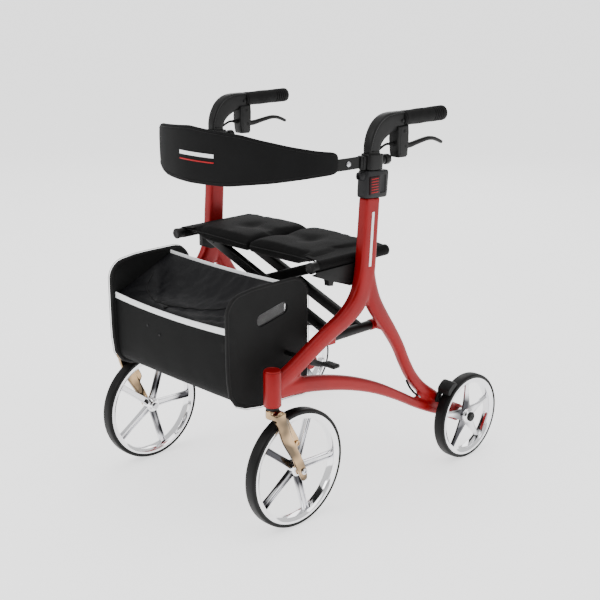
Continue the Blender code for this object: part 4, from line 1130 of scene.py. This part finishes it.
def buildBackKnob(look):
    r = look["radius"]
    profile = [(-0.0120, 0), (-0.0120, 0.003), (0.0035, 0.003), (0.0035, r * 0.70), (0.0050, r * 0.94), (0.0068, r),
               (0.0160, r), (0.0182, r * 0.90), (0.0194, r * 0.66), (0.0196, r * 0.34), (0.0192, 0)]
    knob = turnedPiece("knob", (look["x"], 0, look["z"]), (0, 1, 0), profile, 64)
    points = pointsOf(knob)
    aside = points[:, 0] - look["x"]
    above = points[:, 2] - look["z"]
    reach = np.hypot(aside, above)
    grip = (points[:, 1] > 0.004) & (reach > r * 0.8)
    scale = np.where(grip, 1 - 0.045 * (0.5 + 0.5 * np.cos(np.arctan2(above, aside) * look["lobes"])), 1)
    points[:, 0] = look["x"] + aside * scale
    points[:, 2] = look["z"] + above * scale
    setPoints(knob, points)
    placeBoth(knob, "BackKnob", "backrest_knob_body", blackMould, "black_plastic", ["backrest_knob"])


buildHandlePost(handlePost)
buildHandleGrip(handleGrip)
buildBrakeHousing(brakeHousing)
buildBrakeLever(brakeLever)
buildUpperCable(upperCable)
buildBackBracket(backBracket)
buildBackKnob(backKnob)
print("handles built")


# folding brace

brace = {
    "footX": 0.212, "footZ": 0.365, "railZ": 0.522, "barDeep": 0.022, "barWide": 0.016,
    "bars": {"brace_arm_left": (-0.105, -0.030), "brace_arm_right": (-0.083, -0.008)},
    "barrelFront": -0.122, "barrelRear": 0.002, "barrelRadius": 0.0105, "trunnion": 0.005, "pinRadius": 0.0078,
    "railRadius": 0.0115, "railFront": -0.178, "railRear": 0.050, "tubeRadius": 0.0100,
}


def buildBraceArm(look, node, s):
    foot = Vector((s * look["footX"], 0, look["footZ"]))
    head = Vector((-s * look["footX"], 0, look["railZ"]))
    along = (head - foot).normalized()
    reach = 0.022
    front = look["barrelFront"]
    rear = look["barrelRear"]
    r = look["barrelRadius"]
    t = look["trunnion"]
    barrel = turnedPiece("barrel", (foot.x, 0, foot.z), (0, 1, 0), [
        (front - reach, 0), (front - reach, t), (front, t), (front, r - 0.0008), (front + 0.0008, r),
        (rear - 0.0008, r), (rear, r - 0.0008), (rear, t), (rear + reach, t), (rear + reach, 0)], 36)
    bars = []
    for y in look["bars"][node]:
        stations = []
        for t in (0.0, 0.25, 0.5, 0.75, 1.0):
            spot = foot.lerp(head - along * 0.004, t)
            stations.append((spot.x, y, spot.z, look["barDeep"], look["barWide"]))
        bars.append(sweptPiece("bar", stations, 28, 6.0, 1, 0.0, Vector((0, 1, 0))))
        for d in (-1, 1):
            plate = y + d * (look["barWide"] / 2)
            for spot in (foot.lerp(head, 0.10), foot.lerp(head, 0.88)):
                bars.append(turnedPiece("bolt", (spot.x, plate, spot.z), (0, d, 0),
                                        [(-0.002, 0), (-0.002, 0.0042), (0.0014, 0.0042), (0.0022, 0.0034),
                                        (0.0022, 0)], 6))
    arm = joinPieces(barrel, *bars)
    name = "BraceArm"
    side = "left" if s > 0 else "right"
    place(arm, "arm_" + side, powderBlack, "black_metal", [node], 40)
    arm.name = side + name


def buildBracePivot(look):
    z = (look["footZ"] + look["railZ"]) / 2
    r = look["tubeRadius"]
    pin = look["pinRadius"]
    wide = look["barWide"] / 2 + 0.0004
    profile = [(-0.1270, 0), (-0.1270, r - 0.0010), (-0.1262, r)]
    for y in sorted(y for bars in look["bars"].values() for y in bars):
        profile += [(y - wide, r), (y - wide, pin), (y + wide, pin), (y + wide, r)]
    profile += [(0.0272, r), (0.0280, r - 0.0010), (0.0280, 0)]
    place(turnedPiece("bracePivot", (0, 0, z), (0, 1, 0), profile, 40), "arm_left", powderBlack, "black_metal",
          ["brace_pivot"])
    caps = []
    for y, d in ((-0.1268, -1), (0.0278, 1)):
        caps.append(turnedPiece("cap", (0, y, z), (0, d, 0), [
            (0, 0), (0, 0.0088), (0.0010, 0.0088), (0.0026, 0.0070), (0.0034, 0.0040), (0.0036, 0.0)], 32))
    place(joinPieces(*caps), "arm_left", steel, "black_metal").name = "bracePivotCaps"


def buildSeatRail(look, side, body):
    s = sides[side]
    x = s * look["footX"]
    r = look["railRadius"]
    front = look["railFront"]
    rear = look["railRear"]
    rail = turnedPiece("rail", (x, 0, look["railZ"]), (0, 1, 0), [
        (front + 0.004, 0), (front + 0.004, r - 0.0004), (rear - 0.004, r - 0.0004), (rear - 0.004, 0)], 40)
    plugs = []
    for y, d in ((front, 1), (rear, -1)):
        plugs.append(turnedPiece("plug", (x, y, look["railZ"]), (0, d, 0), [
            (0.0006, 0), (0.0006, 0.0040), (0, 0.0048), (0, r - 0.0020), (0.0008, r - 0.0004), (0.0020, r + 0.0003),
            (0.0060, r + 0.0003), (0.0062, r - 0.0008), (0.0070, r - 0.0008), (0.0070, 0)], 40))
    name = side + "SeatRail"
    place(rail, body, powderBlack, "black_metal", [side + "_seat_rail"]).name = name
    place(joinPieces(*plugs), body, blackMould, "black_metal").name = name + "Plugs"


buildBraceArm(brace, "brace_arm_left", 1)
buildBraceArm(brace, "brace_arm_right", -1)
buildBracePivot(brace)
buildSeatRail(brace, "right", "arm_left")
buildSeatRail(brace, "left", "arm_right")
print("brace built")


# seat

seat = {
    "section": [  # x, z of half the seat, from the crease over the rail and back underneath
        (0.0010, 0.5150), (0.0008, 0.5240), (0.0008, 0.5335), (0.0036, 0.5380), (0.0200, 0.5396), (0.0500, 0.5400),
        (0.1000, 0.5398), (0.1450, 0.5388), (0.1800, 0.5368), (0.2000, 0.5352), (0.2120, 0.5346), (0.2180, 0.5332),
        (0.2174, 0.5322), (0.2118, 0.5338), (0.1985, 0.5318), (0.1600, 0.5190), (0.1500, 0.5155), (0.0800, 0.5145),
    ],
    "front": -0.1570, "rear": 0.0430, "round": 0.0110, "voxel": 0.0045, "pressure": 4.0, "frames": 20,
    "rise": 0.0052, "sink": 0.0010,
    "tuft": (0.095, -0.058), "tuftSize": (0.021, 0.030), "tuftDepth": 0.0085,
    "valleyDepth": 0.0036, "valleyWide": 0.020, "creaseDepth": 0.0030, "creaseWide": 0.018,
    "seam": 0.0011, "wrap": (0.0119, 0.0126),
}


def puffUp(piece, look):
    # cloth pressure fills the pad out; no point moves further than the caps
    start = pointsOf(piece)
    cloth = piece.modifiers.new("filling", "CLOTH")
    cloth.settings.use_pressure = True
    cloth.settings.uniform_pressure_force = look["pressure"]
    cloth.settings.effector_weights.gravity = 0
    cloth.settings.quality = 6
    cloth.collision_settings.use_self_collision = False
    for step in range(1, look["frames"] + 1):
        bpy.context.scene.frame_set(step)
    graph = bpy.context.evaluated_depsgraph_get()
    swollen = piece.evaluated_get(graph).to_mesh()
    flat = np.empty(len(swollen.vertices) * 3)
    swollen.vertices.foreach_get("co", flat)
    moved = flat.reshape(-1, 3) - start
    piece.modifiers.clear()
    bpy.context.scene.frame_set(1)
    reach = np.linalg.norm(moved, axis=1)
    return start + moved * np.minimum(1, look["rise"] / np.maximum(reach, 1e-9))[:, None]


def bump(points, centre, size):  # soft round hill, 1 at its middle
    return np.exp(-(((points[:, 0] - centre[0]) / size[0]) ** 2) - ((points[:, 1] - centre[1]) / size[1]) ** 2)


def buildSeatHalf(look):
    front = look["front"]
    rear = look["rear"]
    rings = []
    soft = look["round"]
    for y, inset in ((front, 0.0060), (front + soft * 0.3, 0.0028), (front + soft * 0.65, 0.0009),
                     (front + soft, 0.0), (rear - soft, 0.0), (rear - soft * 0.65, 0.0009),
                     (rear - soft * 0.3, 0.0028), (rear, 0.0060)):
        rings.append([(x, y, z - inset if z > 0.527 and x < 0.205 else z) for x, z in look["section"]])
    pad = loftPiece("seatHalf", rings)
    remesh = pad.modifiers.new("remesh", "REMESH")
    remesh.mode = "VOXEL"
    remesh.voxel_size = look["voxel"]
    applyModifiers(pad)
    before = pointsOf(pad)
    after = puffUp(pad, look)
    under = before[:, 2] < 0.527
    after[:, 2] = np.where(under, np.maximum(after[:, 2], before[:, 2] - look["sink"]), after[:, 2])
    overRail = np.clip((before[:, 0] - 0.175) / 0.030, 0, 1)[:, None]
    after = after * (1 - overRail) + before * overRail
    after[:, 0] = np.clip(after[:, 0], 0.0006, None)
    setPoints(pad, after)
    subdivided(pad)
    points = pointsOf(pad)
    top = np.clip((points[:, 2] - 0.524) / 0.010, 0, 1)
    dip = look["tuftDepth"] * bump(points, look["tuft"], look["tuftSize"])
    along = np.clip((look["tuft"][0] - points[:, 0]) / 0.03, 0, 1)
    dip += look["valleyDepth"] * along * np.exp(-((points[:, 1] - look["tuft"][1]) / look["valleyWide"]) ** 2)
    toRear = np.clip((points[:, 1] - look["front"]) / (look["rear"] - look["front"]), 0, 1)
    dip += look["creaseDepth"] * (0.3 + toRear) * np.exp(-(points[:, 0] / look["creaseWide"]) ** 2)
    fall = np.array([noise.noise(Vector(p) * 22) for p in points]) * 0.0009
    points[:, 2] -= top * (dip + fall)
    points[:, 0] = np.clip(points[:, 0], 0.0006, None)
    setPoints(pad, points)
    smoothPoints(pad, 2)
    return pad


def hugSurface(piece, points, lift):  # drops points on to a surface and stands them a little proud
    graph = bpy.context.evaluated_depsgraph_get()
    held = []
    for point in points:
        spot, normal = piece.closest_point_on_mesh(Vector(point), depsgraph=graph)[1:3]
        held.append(spot + normal * lift)
    return held


def seamAlong(name, piece, points, thick, lift=0.0):
    spots = hugSurface(piece, points, lift)
    return sweptPiece(name, [(*spot, thick, thick) for spot in spots], 8, 2.0, 1, 0.6, Vector((0.01, 0.01, 1)))


def buildSeat(look, onBrace):
    half = buildSeatHalf(look)
    seam = look["seam"] * 2
    front = look["front"]
    rear = look["rear"]
    steps = [i / 24 for i in range(25)]
    seams = [
        seamAlong("seam", half, [(0.004 + 0.205 * t, front, 0.5290 + 0.0045 * t) for t in steps], seam),
        seamAlong("seam", half, [(0.004 + 0.205 * t, rear, 0.5290 + 0.0045 * t) for t in steps], seam),
        seamAlong("seam", half, [(0.1985, front + (rear - front) * t, 0.545) for t in steps], seam * 0.8, -0.0002),
    ]
    for name, piece, slotNodes in (("SeatHalf", half, ["seat_pad"]), ("SeatSeams", joinPieces(*seams), [])):
        twin = mirroredPiece(piece, "right" + name)
        piece.name = "left" + name
        finish = seatCloth if slotNodes else edgeTape
        for side, made in (("left", piece), ("right", twin)):
            place(made, side + "_seat", finish, "seat_fabric", [side + "_" + node for node in slotNodes], 180)
    for side, body in (("right", "arm_left"), ("left", "arm_right")):
        s = sides[side]
        sleeve = []
        for i in range(33):
            y = -0.1600 + i * 0.2050 / 32
            pinch = 0.0003 * math.sin(i * 2.1) + 0.0002 * math.sin(i * 0.9)
            pinch -= 0.0004 if i in (0, 32) else 0
            sleeve.append((s * onBrace["footX"], y, onBrace["railZ"], 0.0234 + pinch, 0.0234 + pinch))
        piece = sweptPiece(side + "RailSleeve", sleeve, 40, 2.0, 1, 0.0)
        place(piece, body, seatCloth, "seat_fabric", (), 50)


def buildSeatWrap(look, onBrace):  # thin cloth from the pad over the rail
    x = onBrace["footX"]
    z = onBrace["railZ"]
    inner, outer = look["wrap"]
    angles = [math.radians(100 - 70 * i / 10) for i in range(11)]
    over = [(x + outer * math.cos(a), z + outer * math.sin(a)) for a in angles]
    under = [(x + inner * math.cos(a), z + inner * math.sin(a)) for a in reversed(angles)]
    outline = [(0.1780, 0.5378)] + over + under + [(0.1780, 0.5362)]
    rings = [[(a, y, b) for a, b in outline] for y in (look["front"] + 0.001, look["rear"] - 0.001)]
    placeBoth(loftPiece("wrap", rings), "SeatWrap", "seat", seatCloth, "seat_fabric", (), 30)


buildSeat(seat, brace)
buildSeatWrap(seat, brace)
print("seat built")


# bag

bag = {
    "panelX": (0.1832, 0.1908), "panelRound": 0.0030, "binding": (0.0076, 0.0086), "seamInset": 0.0085,
    "seamThick": 0.0012,
    "panelEdge": {
        "front": [(-0.3650, 0.2980), (-0.3690, 0.3300), (-0.3700, 0.3600), (-0.3700, 0.4000), (-0.3700, 0.4300)],
        "frontCorner": ((-0.3350, 0.4570), 0.0350, 172, 95),
        "top": [(-0.3100, 0.4958), (-0.2700, 0.4970), (-0.2350, 0.4970)],
        "rearCorner": ((-0.2050, 0.4600), 0.0370, 88, 5),
        "rear": [(-0.1680, 0.4300), (-0.1680, 0.3600), (-0.1680, 0.3000)],
        "lowCorner": ((-0.1880, 0.2820), 0.0200, -5, -85),
        "floor": [(-0.2300, 0.2630), (-0.2900, 0.2625), (-0.3300, 0.2690), (-0.3520, 0.2790)],
    },
    "hole": ((-0.2870, 0.4345), (-0.2300, 0.4475), 0.0135), "netX": 0.1858, "netPitch": 0.0026, "netThick": 0.0008,
    "shell": [  # y, z from the front's top edge down, along the floor and up the back
        (-0.3665, 0.4300), (-0.3668, 0.4000), (-0.3665, 0.3500), (-0.3655, 0.3200), (-0.3620, 0.2950),
        (-0.3500, 0.2790), (-0.3300, 0.2710), (-0.2900, 0.2655), (-0.2500, 0.2645), (-0.2300, 0.2690),
        (-0.2200, 0.2830), (-0.2185, 0.3200), (-0.2190, 0.4000), (-0.2195, 0.4865),
    ],
    "wall": 0.0030, "reach": 0.1827, "bow": 0.0040, "frontSag": 0.0050, "floorSag": 0.0030, "wrinkle": 0.0011,
    "pipeTall": 0.0118, "pipeThick": 0.0022, "rearPipe": (-0.2172, 0.4880, 0.0200), "rearSag": 0.0040,
    "studs": [(-0.0692, 0.3833), (-0.0295, 0.3719)],
    "patch": {"from": 0.035, "to": 0.178, "low": 0.3830, "high": 0.4000},
    "keep": 0.169, "anchor": 0.183,
}
lid = {
    "rear": (-0.2195, 0.4915), "front": (-0.3600, 0.4275), "reach": 0.1810, "thick": 0.0020, "sink": 0.0190,
    "creases": [  # start and end on the cloth (u across, v rear to front), depth, width
        ((-0.95, 0.30), (-0.45, 0.78), 0.0042, 0.060), ((-0.80, 0.10), (-0.30, 0.55), -0.0030, 0.080),
        ((-0.35, 0.88), (0.30, 0.80), 0.0045, 0.055), ((0.25, 0.86), (0.95, 0.35), 0.0040, 0.060),
        ((0.10, 0.65), (0.90, 0.12), -0.0030, 0.075), ((0.35, 0.98), (0.98, 0.66), 0.0050, 0.050),
        ((-0.20, 0.15), (0.15, 0.60), -0.0022, 0.090),
    ],
    "crumple": 0.0026, "flat": (0.362, 0.164),
    "seam": [(-0.92, 0.42), (-0.80, 0.66), (-0.58, 0.80), (-0.36, 0.88), (-0.10, 0.80), (0.15, 0.74), (0.40, 0.62),
             (0.62, 0.42), (0.86, 0.26)],
    "seamThick": 0.0020, "pull": (-0.20, 0.90),
}


def squashSoft(piece):
    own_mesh(piece)


def outlineInset(outline, distance):  # moves a closed (y, z) outline inwards
    result = []
    for i, (y, z) in enumerate(outline):
        before = Vector(outline[i - 1])
        after = Vector(outline[(i + 1) % len(outline)])
        along = (after - before).normalized()
        result.append((y + along.y * distance, z - along.x * distance))
    return result


def outlineCord(name, x, outline, deep, wide, count=12):  # closed cord round an outline in the plane at x
    rings = []
    for i, (y, z) in enumerate(outline):
        before = outline[i - 1]
        after = outline[(i + 1) % len(outline)]
        along = Vector((0, after[0] - before[0], after[1] - before[1])).normalized()
        rings.append(ovalRing(Vector((x, y, z)), along.cross(sideWays), sideWays, deep, wide, count, 2.2))
    return loftPiece(name, rings, False, True)


def panelOutline(edge):
    outline = list(edge["front"]) + arcPoints(*edge["frontCorner"], 12) + list(edge["top"])
    outline += arcPoints(*edge["rearCorner"], 12) + list(edge["rear"]) + arcPoints(*edge["lowCorner"],
            8) + list(edge["floor"])
    return outline


def netBars(x, spans, thick):  # thin square rods, each between two (y, z) points in the plane at x
    rods = []
    for start, end in spans:
        path = [(x, *start, thick, thick), (x, *end, thick, thick)]
        rods.append(sweptPiece("rod", path, 4, 2.0, 1))
    return joinPieces(*rods)


def holeSpans(look):
    start, end, radius = look["hole"]
    middle = (Vector(start) + Vector(end)) / 2
    along = (Vector(end) - Vector(start)).normalized()
    beside = Vector((-along.y, along.x))
    half = (Vector(end) - Vector(start)).length / 2
    pitch = look["netPitch"]
    spans = []
    for i in range(-4, 5):
        v = (i + 0.5) * pitch
        if abs(v) < radius - 0.001:
            reach = half + math.sqrt(radius ** 2 - v ** 2) + 0.001
            spans.append((middle - along * reach + beside * v, middle + along * reach + beside * v))
    count = int((half + radius) / pitch)
    for i in range(-count, count + 1):
        u = i * pitch
        over = max(0.0, abs(u) - half)
        reach = math.sqrt(max(radius ** 2 - over ** 2, 0.0)) + 0.001
        spans.append((middle + along * u - beside * reach, middle + along * u + beside * reach))
    return spans


def buildBagPanels(look):
    outline = panelOutline(look["panelEdge"])
    low, high = look["panelX"]
    start, end, radius = look["hole"]
    lean = math.degrees(math.atan2(end[1] - start[1], end[0] - start[0]))
    hole = arcPoints(start, radius, lean + 90, lean + 270, 16) + arcPoints(end, radius, lean - 90, lean + 90, 16)
    panel = platePiece("panel", outlineInset(outline, -0.0028), low, high, look["panelRound"])
    boolPiece(panel, [platePiece("hole", hole, low - 0.01, high + 0.01)])
    lip = outlineCord("lip", high - 0.0012, hole, 0.0022, 0.0022, 8)
    placeBoth(joinPieces(panel, lip), "BagPanel", "frame", panelCloth, "bag_panel", ["bag_side"], 50)
    deep, wide = look["binding"]
    middle = (low + high) / 2
    binding = outlineCord("binding", middle, outlineInset(outline, -deep / 2), deep, wide, 14)
    seam = outlineCord("seam", high + 0.0001, outlineInset(outline, -look["seamInset"]), look["seamThick"],
                       look["seamThick"], 8)
    placeBoth(joinPieces(binding, seam), "BagBinding", "frame", edgeTape, "bag_panel", (), 180)
    net = netBars(look["netX"], holeSpans(look), look["netThick"])
    placeBoth(net, "BagHandNet", "frame", meshYarn, "bag_panel", (), 30)


def frontTop(look, x):  # bow and height of the front wall's top edge
    middle = 1 - (x / look["reach"]) ** 2
    return look["shell"][0][0] - look["bow"] * middle, look["shell"][0][1] - look["frontSag"] * middle


def buildBagShell(look):
    path = curveThrough(look["shell"], 5)
    total = len(path) - 1
    rings = []
    for i in range(65):
        x = look["reach"] * (i / 32 - 1)
        middle = 1 - (x / look["reach"]) ** 2
        outer = []
        for k, (y, z) in enumerate(path):
            t = k / total
            front = max(0.0, 1 - t / 0.42)
            floor = math.exp(-((t - 0.55) / 0.14) ** 2)
            back = max(0.0, (t - 0.72) / 0.28)
            y -= look["bow"] * middle * math.sqrt(front)
            z -= look["frontSag"] * middle * front ** 2 + look["floorSag"] * middle * floor
            z -= look["rearSag"] * middle * back ** 2
            crease = noise.noise(Vector((x * 14, y * 26, z * 20))) * 0.6 + noise.noise(Vector((x * 40, y * 50,
                    z * 34))) * 0.4
            y -= crease * look["wrinkle"] * (1 - abs(2 * t - 1)) ** 0.3
            outer.append((y, z))
        inner = []
        for k, (y, z) in enumerate(outer):
            before = Vector(outer[max(k - 1, 0)])
            after = Vector(outer[min(k + 1, total)])
            along = (after - before).normalized()
            inner.append((y - along.y * look["wall"], z + along.x * look["wall"]))
        rings.append([(x, y, z) for y, z in outer + inner[::-1]])
    shell = place(loftPiece("bagShell", rings), "left_frame", bagCloth, "bag_fabric", ["bag_body"], 40)
    squashSoft(shell)


def buildBagPiping(look):
    tall = look["pipeTall"]
    thick = look["pipeThick"]
    front = []
    back = []
    rearY, rearZ, rearTall = look["rearPipe"]
    for i in range(49):
        x = (look["reach"] - 0.0008) * (i / 24 - 1)
        share = 1 - (x / look["reach"]) ** 2
        y, z = frontTop(look, x)
        grow = 0.0016 * (x / look["reach"]) ** 2
        front.append((x, y - 0.0005, z - tall / 2 + 0.0014, tall + grow, thick))
        back.append((x, rearY, rearZ - look["rearSag"] * share, rearTall, thick))
    for name, stations in (("bagFrontPiping", front), ("bagRearPiping", back)):
        strip = sweptPiece(name, stations, 20, 5.0, 1, 0.0, Vector((0, 1, 0)))
        place(strip, "left_frame", reflectiveTape, "bag_fabric", (), 60)
        squashSoft(strip)


def buildBagTrim(look):
    trims = []
    for x, z in look["studs"]:
        y = frontTop(look, x)[0] + 0.0010
        trims.append(turnedPiece("stud", (x, y, z), (0, -1, 0), [
            (0, 0), (0, 0.0026), (0.0012, 0.0026), (0.0020, 0.0018), (0.0022, 0)], 20))
    studs = place(joinPieces(*trims), "left_frame", greyMould, "bag_fabric", (), 40)
    studs.name = "bagStuds"
    squashSoft(studs)
    patch = look["patch"]
    rods = []
    for i in range(53):
        share = i / 52
        x = patch["from"] + (patch["to"] - patch["from"]) * share
        y = frontTop(look, x)[0] * 0.35 + look["shell"][0][0] * 0.65 - 0.0006
        middle = (patch["low"] + patch["high"]) / 2
        half = (patch["high"] - patch["low"]) / 2 * math.sqrt(share) + 0.0004
        rods.append(sweptPiece("rod", [(x, y, middle - half, 0.0007, 0.0007),
                                       (x, y, middle + half, 0.0007, 0.0007)], 4, 2.0, 1))
    for k in range(-3, 4):
        offset = k * 0.0026
        share = (abs(offset) / ((patch["high"] - patch["low"]) / 2)) ** 2
        path = []
        for i in range(9):
            x = patch["from"] + (patch["to"] - patch["from"]) * (share + (1 - share) * i / 8)
            y = frontTop(look, x)[0] * 0.35 + look["shell"][0][0] * 0.65 - 0.0006
            path.append((x, y, (patch["low"] + patch["high"]) / 2 + offset, 0.0007, 0.0007))
        rods.append(sweptPiece("rod", path, 4, 2.0, 1, 0.0, Vector((0, 1, 0))))
    net = place(joinPieces(*rods), "left_frame", edgeTape, "bag_fabric", (), 30)
    net.name = "bagFrontNet"
    squashSoft(net)


def lidHeight(look, u, v):
    rear = look["rear"][1]
    front = look["front"][1]
    height = rear + (front - rear) * v
    across = 1 - u ** 4
    height -= look["sink"] * across * math.sin(math.pi * min(v * 1.05, 1.0)) ** 1.3
    height -= bag["frontSag"] * (1 - u * u) * v ** 2 + bag["rearSag"] * (1 - u * u) * (1 - v) ** 2
    fade = min(1.0, (1 - abs(u)) / 0.10) * min(1.0, v / 0.10, (1.02 - v) / 0.08)
    for start, end, depth, width in look["creases"]:
        line = Vector(end) - Vector(start)
        spot = Vector((u, v)) - Vector(start)
        t = min(1.0, max(0.0, spot.dot(line) / line.length_squared))
        gap = (spot - line * t).length
        height -= depth * fade * math.exp(-((gap / width) ** 2)) * math.sin(math.pi * min(max(t, 0.08), 0.92))
    crumple = noise.noise(Vector((u * 7, v * 5, 0.3))) + 0.5 * noise.noise(Vector((u * 17, v * 11, 1.7)))
    height += look["crumple"] * fade * crumple
    return max(height, 0.4175)


def lidSpot(look, u, v, lift=0.0):
    y = look["rear"][0] + (look["front"][0] - look["rear"][0]) * v - 0.6 * bag["bow"] * (1 - u * u) * v ** 3
    return Vector((u * look["reach"], y, lidHeight(look, u, v) + lift))


def buildBagLid(look):
    rings = []
    for i in range(81):
        u = i / 40 - 1
        top = [lidSpot(look, u, k / 40) for k in range(41)]
        under = [spot - Vector((0, 0, look["thick"])) for spot in reversed(top)]
        rings.append(top + under)
    cover = place(loftPiece("bagLid", rings), "bag_lid_body", lidCloth, "bag_fabric", ["bag_lid"], 50)
    squashSoft(cover)
    thick = look["seamThick"]
    path = []
    for u, v in curveThrough(look["seam"], 6):
        path.append((*lidSpot(look, u, v, thick * 0.3), thick, thick))
    seam = sweptPiece("seam", path, 10, 2.0, 1, 0.8, Vector((0.01, 0.01, 1)))
    u, v = look["pull"]
    spot = lidSpot(look, u, v, 0.0012)
    pull = blockPiece("pull", spot - Vector((0.0055, 0.0030, 0.0014)), spot + Vector((0.0055, 0.0030, 0.0014)),
                      0.0012)
    tag = blockPiece("tag", spot + Vector((0.004, -0.0085, -0.0006)), spot + Vector((0.009, 0.0010, 0.0016)),
                     0.0007, 2)
    trim = place(joinPieces(seam, pull, tag), "bag_lid_body", edgeTape, "bag_fabric", (), 50)
    trim.name = "bagLidSeam"
    squashSoft(trim)


buildBagPanels(bag)
buildBagShell(bag)
buildBagPiping(bag)
buildBagTrim(bag)
buildBagLid(lid)
print("bag built")


# backrest

backrest = {
    "half": 0.2385, "endY": -0.100, "bow": 0.200, "first": 7.0, "steps": 72, "count": 40, "thick": 0.0094,
    "power": 3.4,
    "top": [(0.0, 0.7970), (0.12, 0.7870), (0.175, 0.7730), (0.212, 0.7610), (0.234, 0.7520), (0.2385, 0.7500)],
    "bottom": [(0.0, 0.6820), (0.093, 0.6840), (0.136, 0.6900), (0.174, 0.6950), (0.212, 0.7020), (0.234, 0.7070),
               (0.2385, 0.7080)],
    "endClip": 0.006, "swell": 0.0006, "seamInset": 0.0060, "seamThick": 0.0011,
    "stripe": {"from": 74.0, "to": 97.0, "bands": [(0.7420, 0.0075, "reflective"), (0.7290, 0.0026, "red")]},
    "keep": 0.363, "anchor": 0.2385,
}


def backEdge(table, x):
    return float(np.interp(abs(x), [a for a, b in table], [b for a, b in table]))


def backFrame(look, angle):  # the strap's middle and its outward direction at an angle round the bow
    c = math.cos(angle)
    s = math.sin(angle)
    middle = Vector((look["half"] * c, look["endY"] - look["bow"] * s, 0))
    outward = Vector((c / look["half"], -s / look["bow"], 0)).normalized()
    return middle, outward


def buildBackrest(look):
    first = math.radians(look["first"])
    rings = []
    steps = look["steps"]
    for i in range(steps + 1):
        angle = first + (math.pi - 2 * first) * i / steps
        middle, outward = backFrame(look, angle)
        high = backEdge(look["top"], middle.x)
        low = backEdge(look["bottom"], middle.x)
        end = max(0.0, 1 - min(i, steps - i) / 2.0)
        high -= look["endClip"] * end ** 2
        low += look["endClip"] * end ** 2
        thick = look["thick"] * (1 - 0.45 * end ** 2)
        centre = middle + Vector((0, 0, (low + high) / 2))
        swell = look["swell"] * noise.noise(Vector((middle.x * 9, i * 0.13, 2.0)))
        centre += outward * swell
        rings.append(ovalRing(centre, Vector((0, 0, 1)), outward, high - low, thick, look["count"], look["power"]))
    strap = loftPiece("backrestStrap", rings)
    points = pointsOf(strap)
    lumps = np.array([noise.noise(Vector(p) * 16) for p in points]) * look["swell"]
    points[:, 1] += lumps
    setPoints(strap, points)
    subdivided(strap)
    place(strap, "left_handle", backCloth, "backrest_fabric", ["backrest_band"], 60)
    squashSoft(strap)
    cords = []
    inset = look["seamInset"]
    thick = look["seamThick"]
    for table, shift in ((look["top"], -inset), (look["bottom"], inset)):
        path = []
        for i in range(61):
            angle = first + 0.05 + (math.pi - 2 * first - 0.10) * i / 60
            middle, outward = backFrame(look, angle)
            spot = middle + outward * (look["thick"] / 2 - 0.0010)
            path.append((spot.x, spot.y, backEdge(table, middle.x) + shift, thick, thick))
        cords.append(sweptPiece("cord", path, 8, 2.0, 1, 0.6, Vector((0.001, 0.001, 1))))
    seams = place(joinPieces(*cords), "left_handle", edgeTape, "backrest_fabric", (), 180)
    seams.name = "backrestSeams"
    squashSoft(seams)


def buildBackStripes(look):
    stripe = look["stripe"]
    for z, tall, colour in stripe["bands"]:
        path = []
        for i in range(25):
            angle = math.radians(stripe["from"] + (stripe["to"] - stripe["from"]) * i / 24)
            middle, outward = backFrame(look, angle)
            spot = middle + outward * (look["thick"] / 2 + 0.0001)
            path.append((spot.x, spot.y, z, 0.0012, tall))
        finish = reflectiveTape if colour == "reflective" else paintRed
        band = sweptPiece("backrestStripe", path, 16, 5.0, 1, 0.0, Vector((0, 0, 1)))
        place(band, "left_handle", finish, "backrest_fabric", (), 50)
        squashSoft(band)


buildBackrest(backrest)
buildBackStripes(backrest)
print("backrest built")
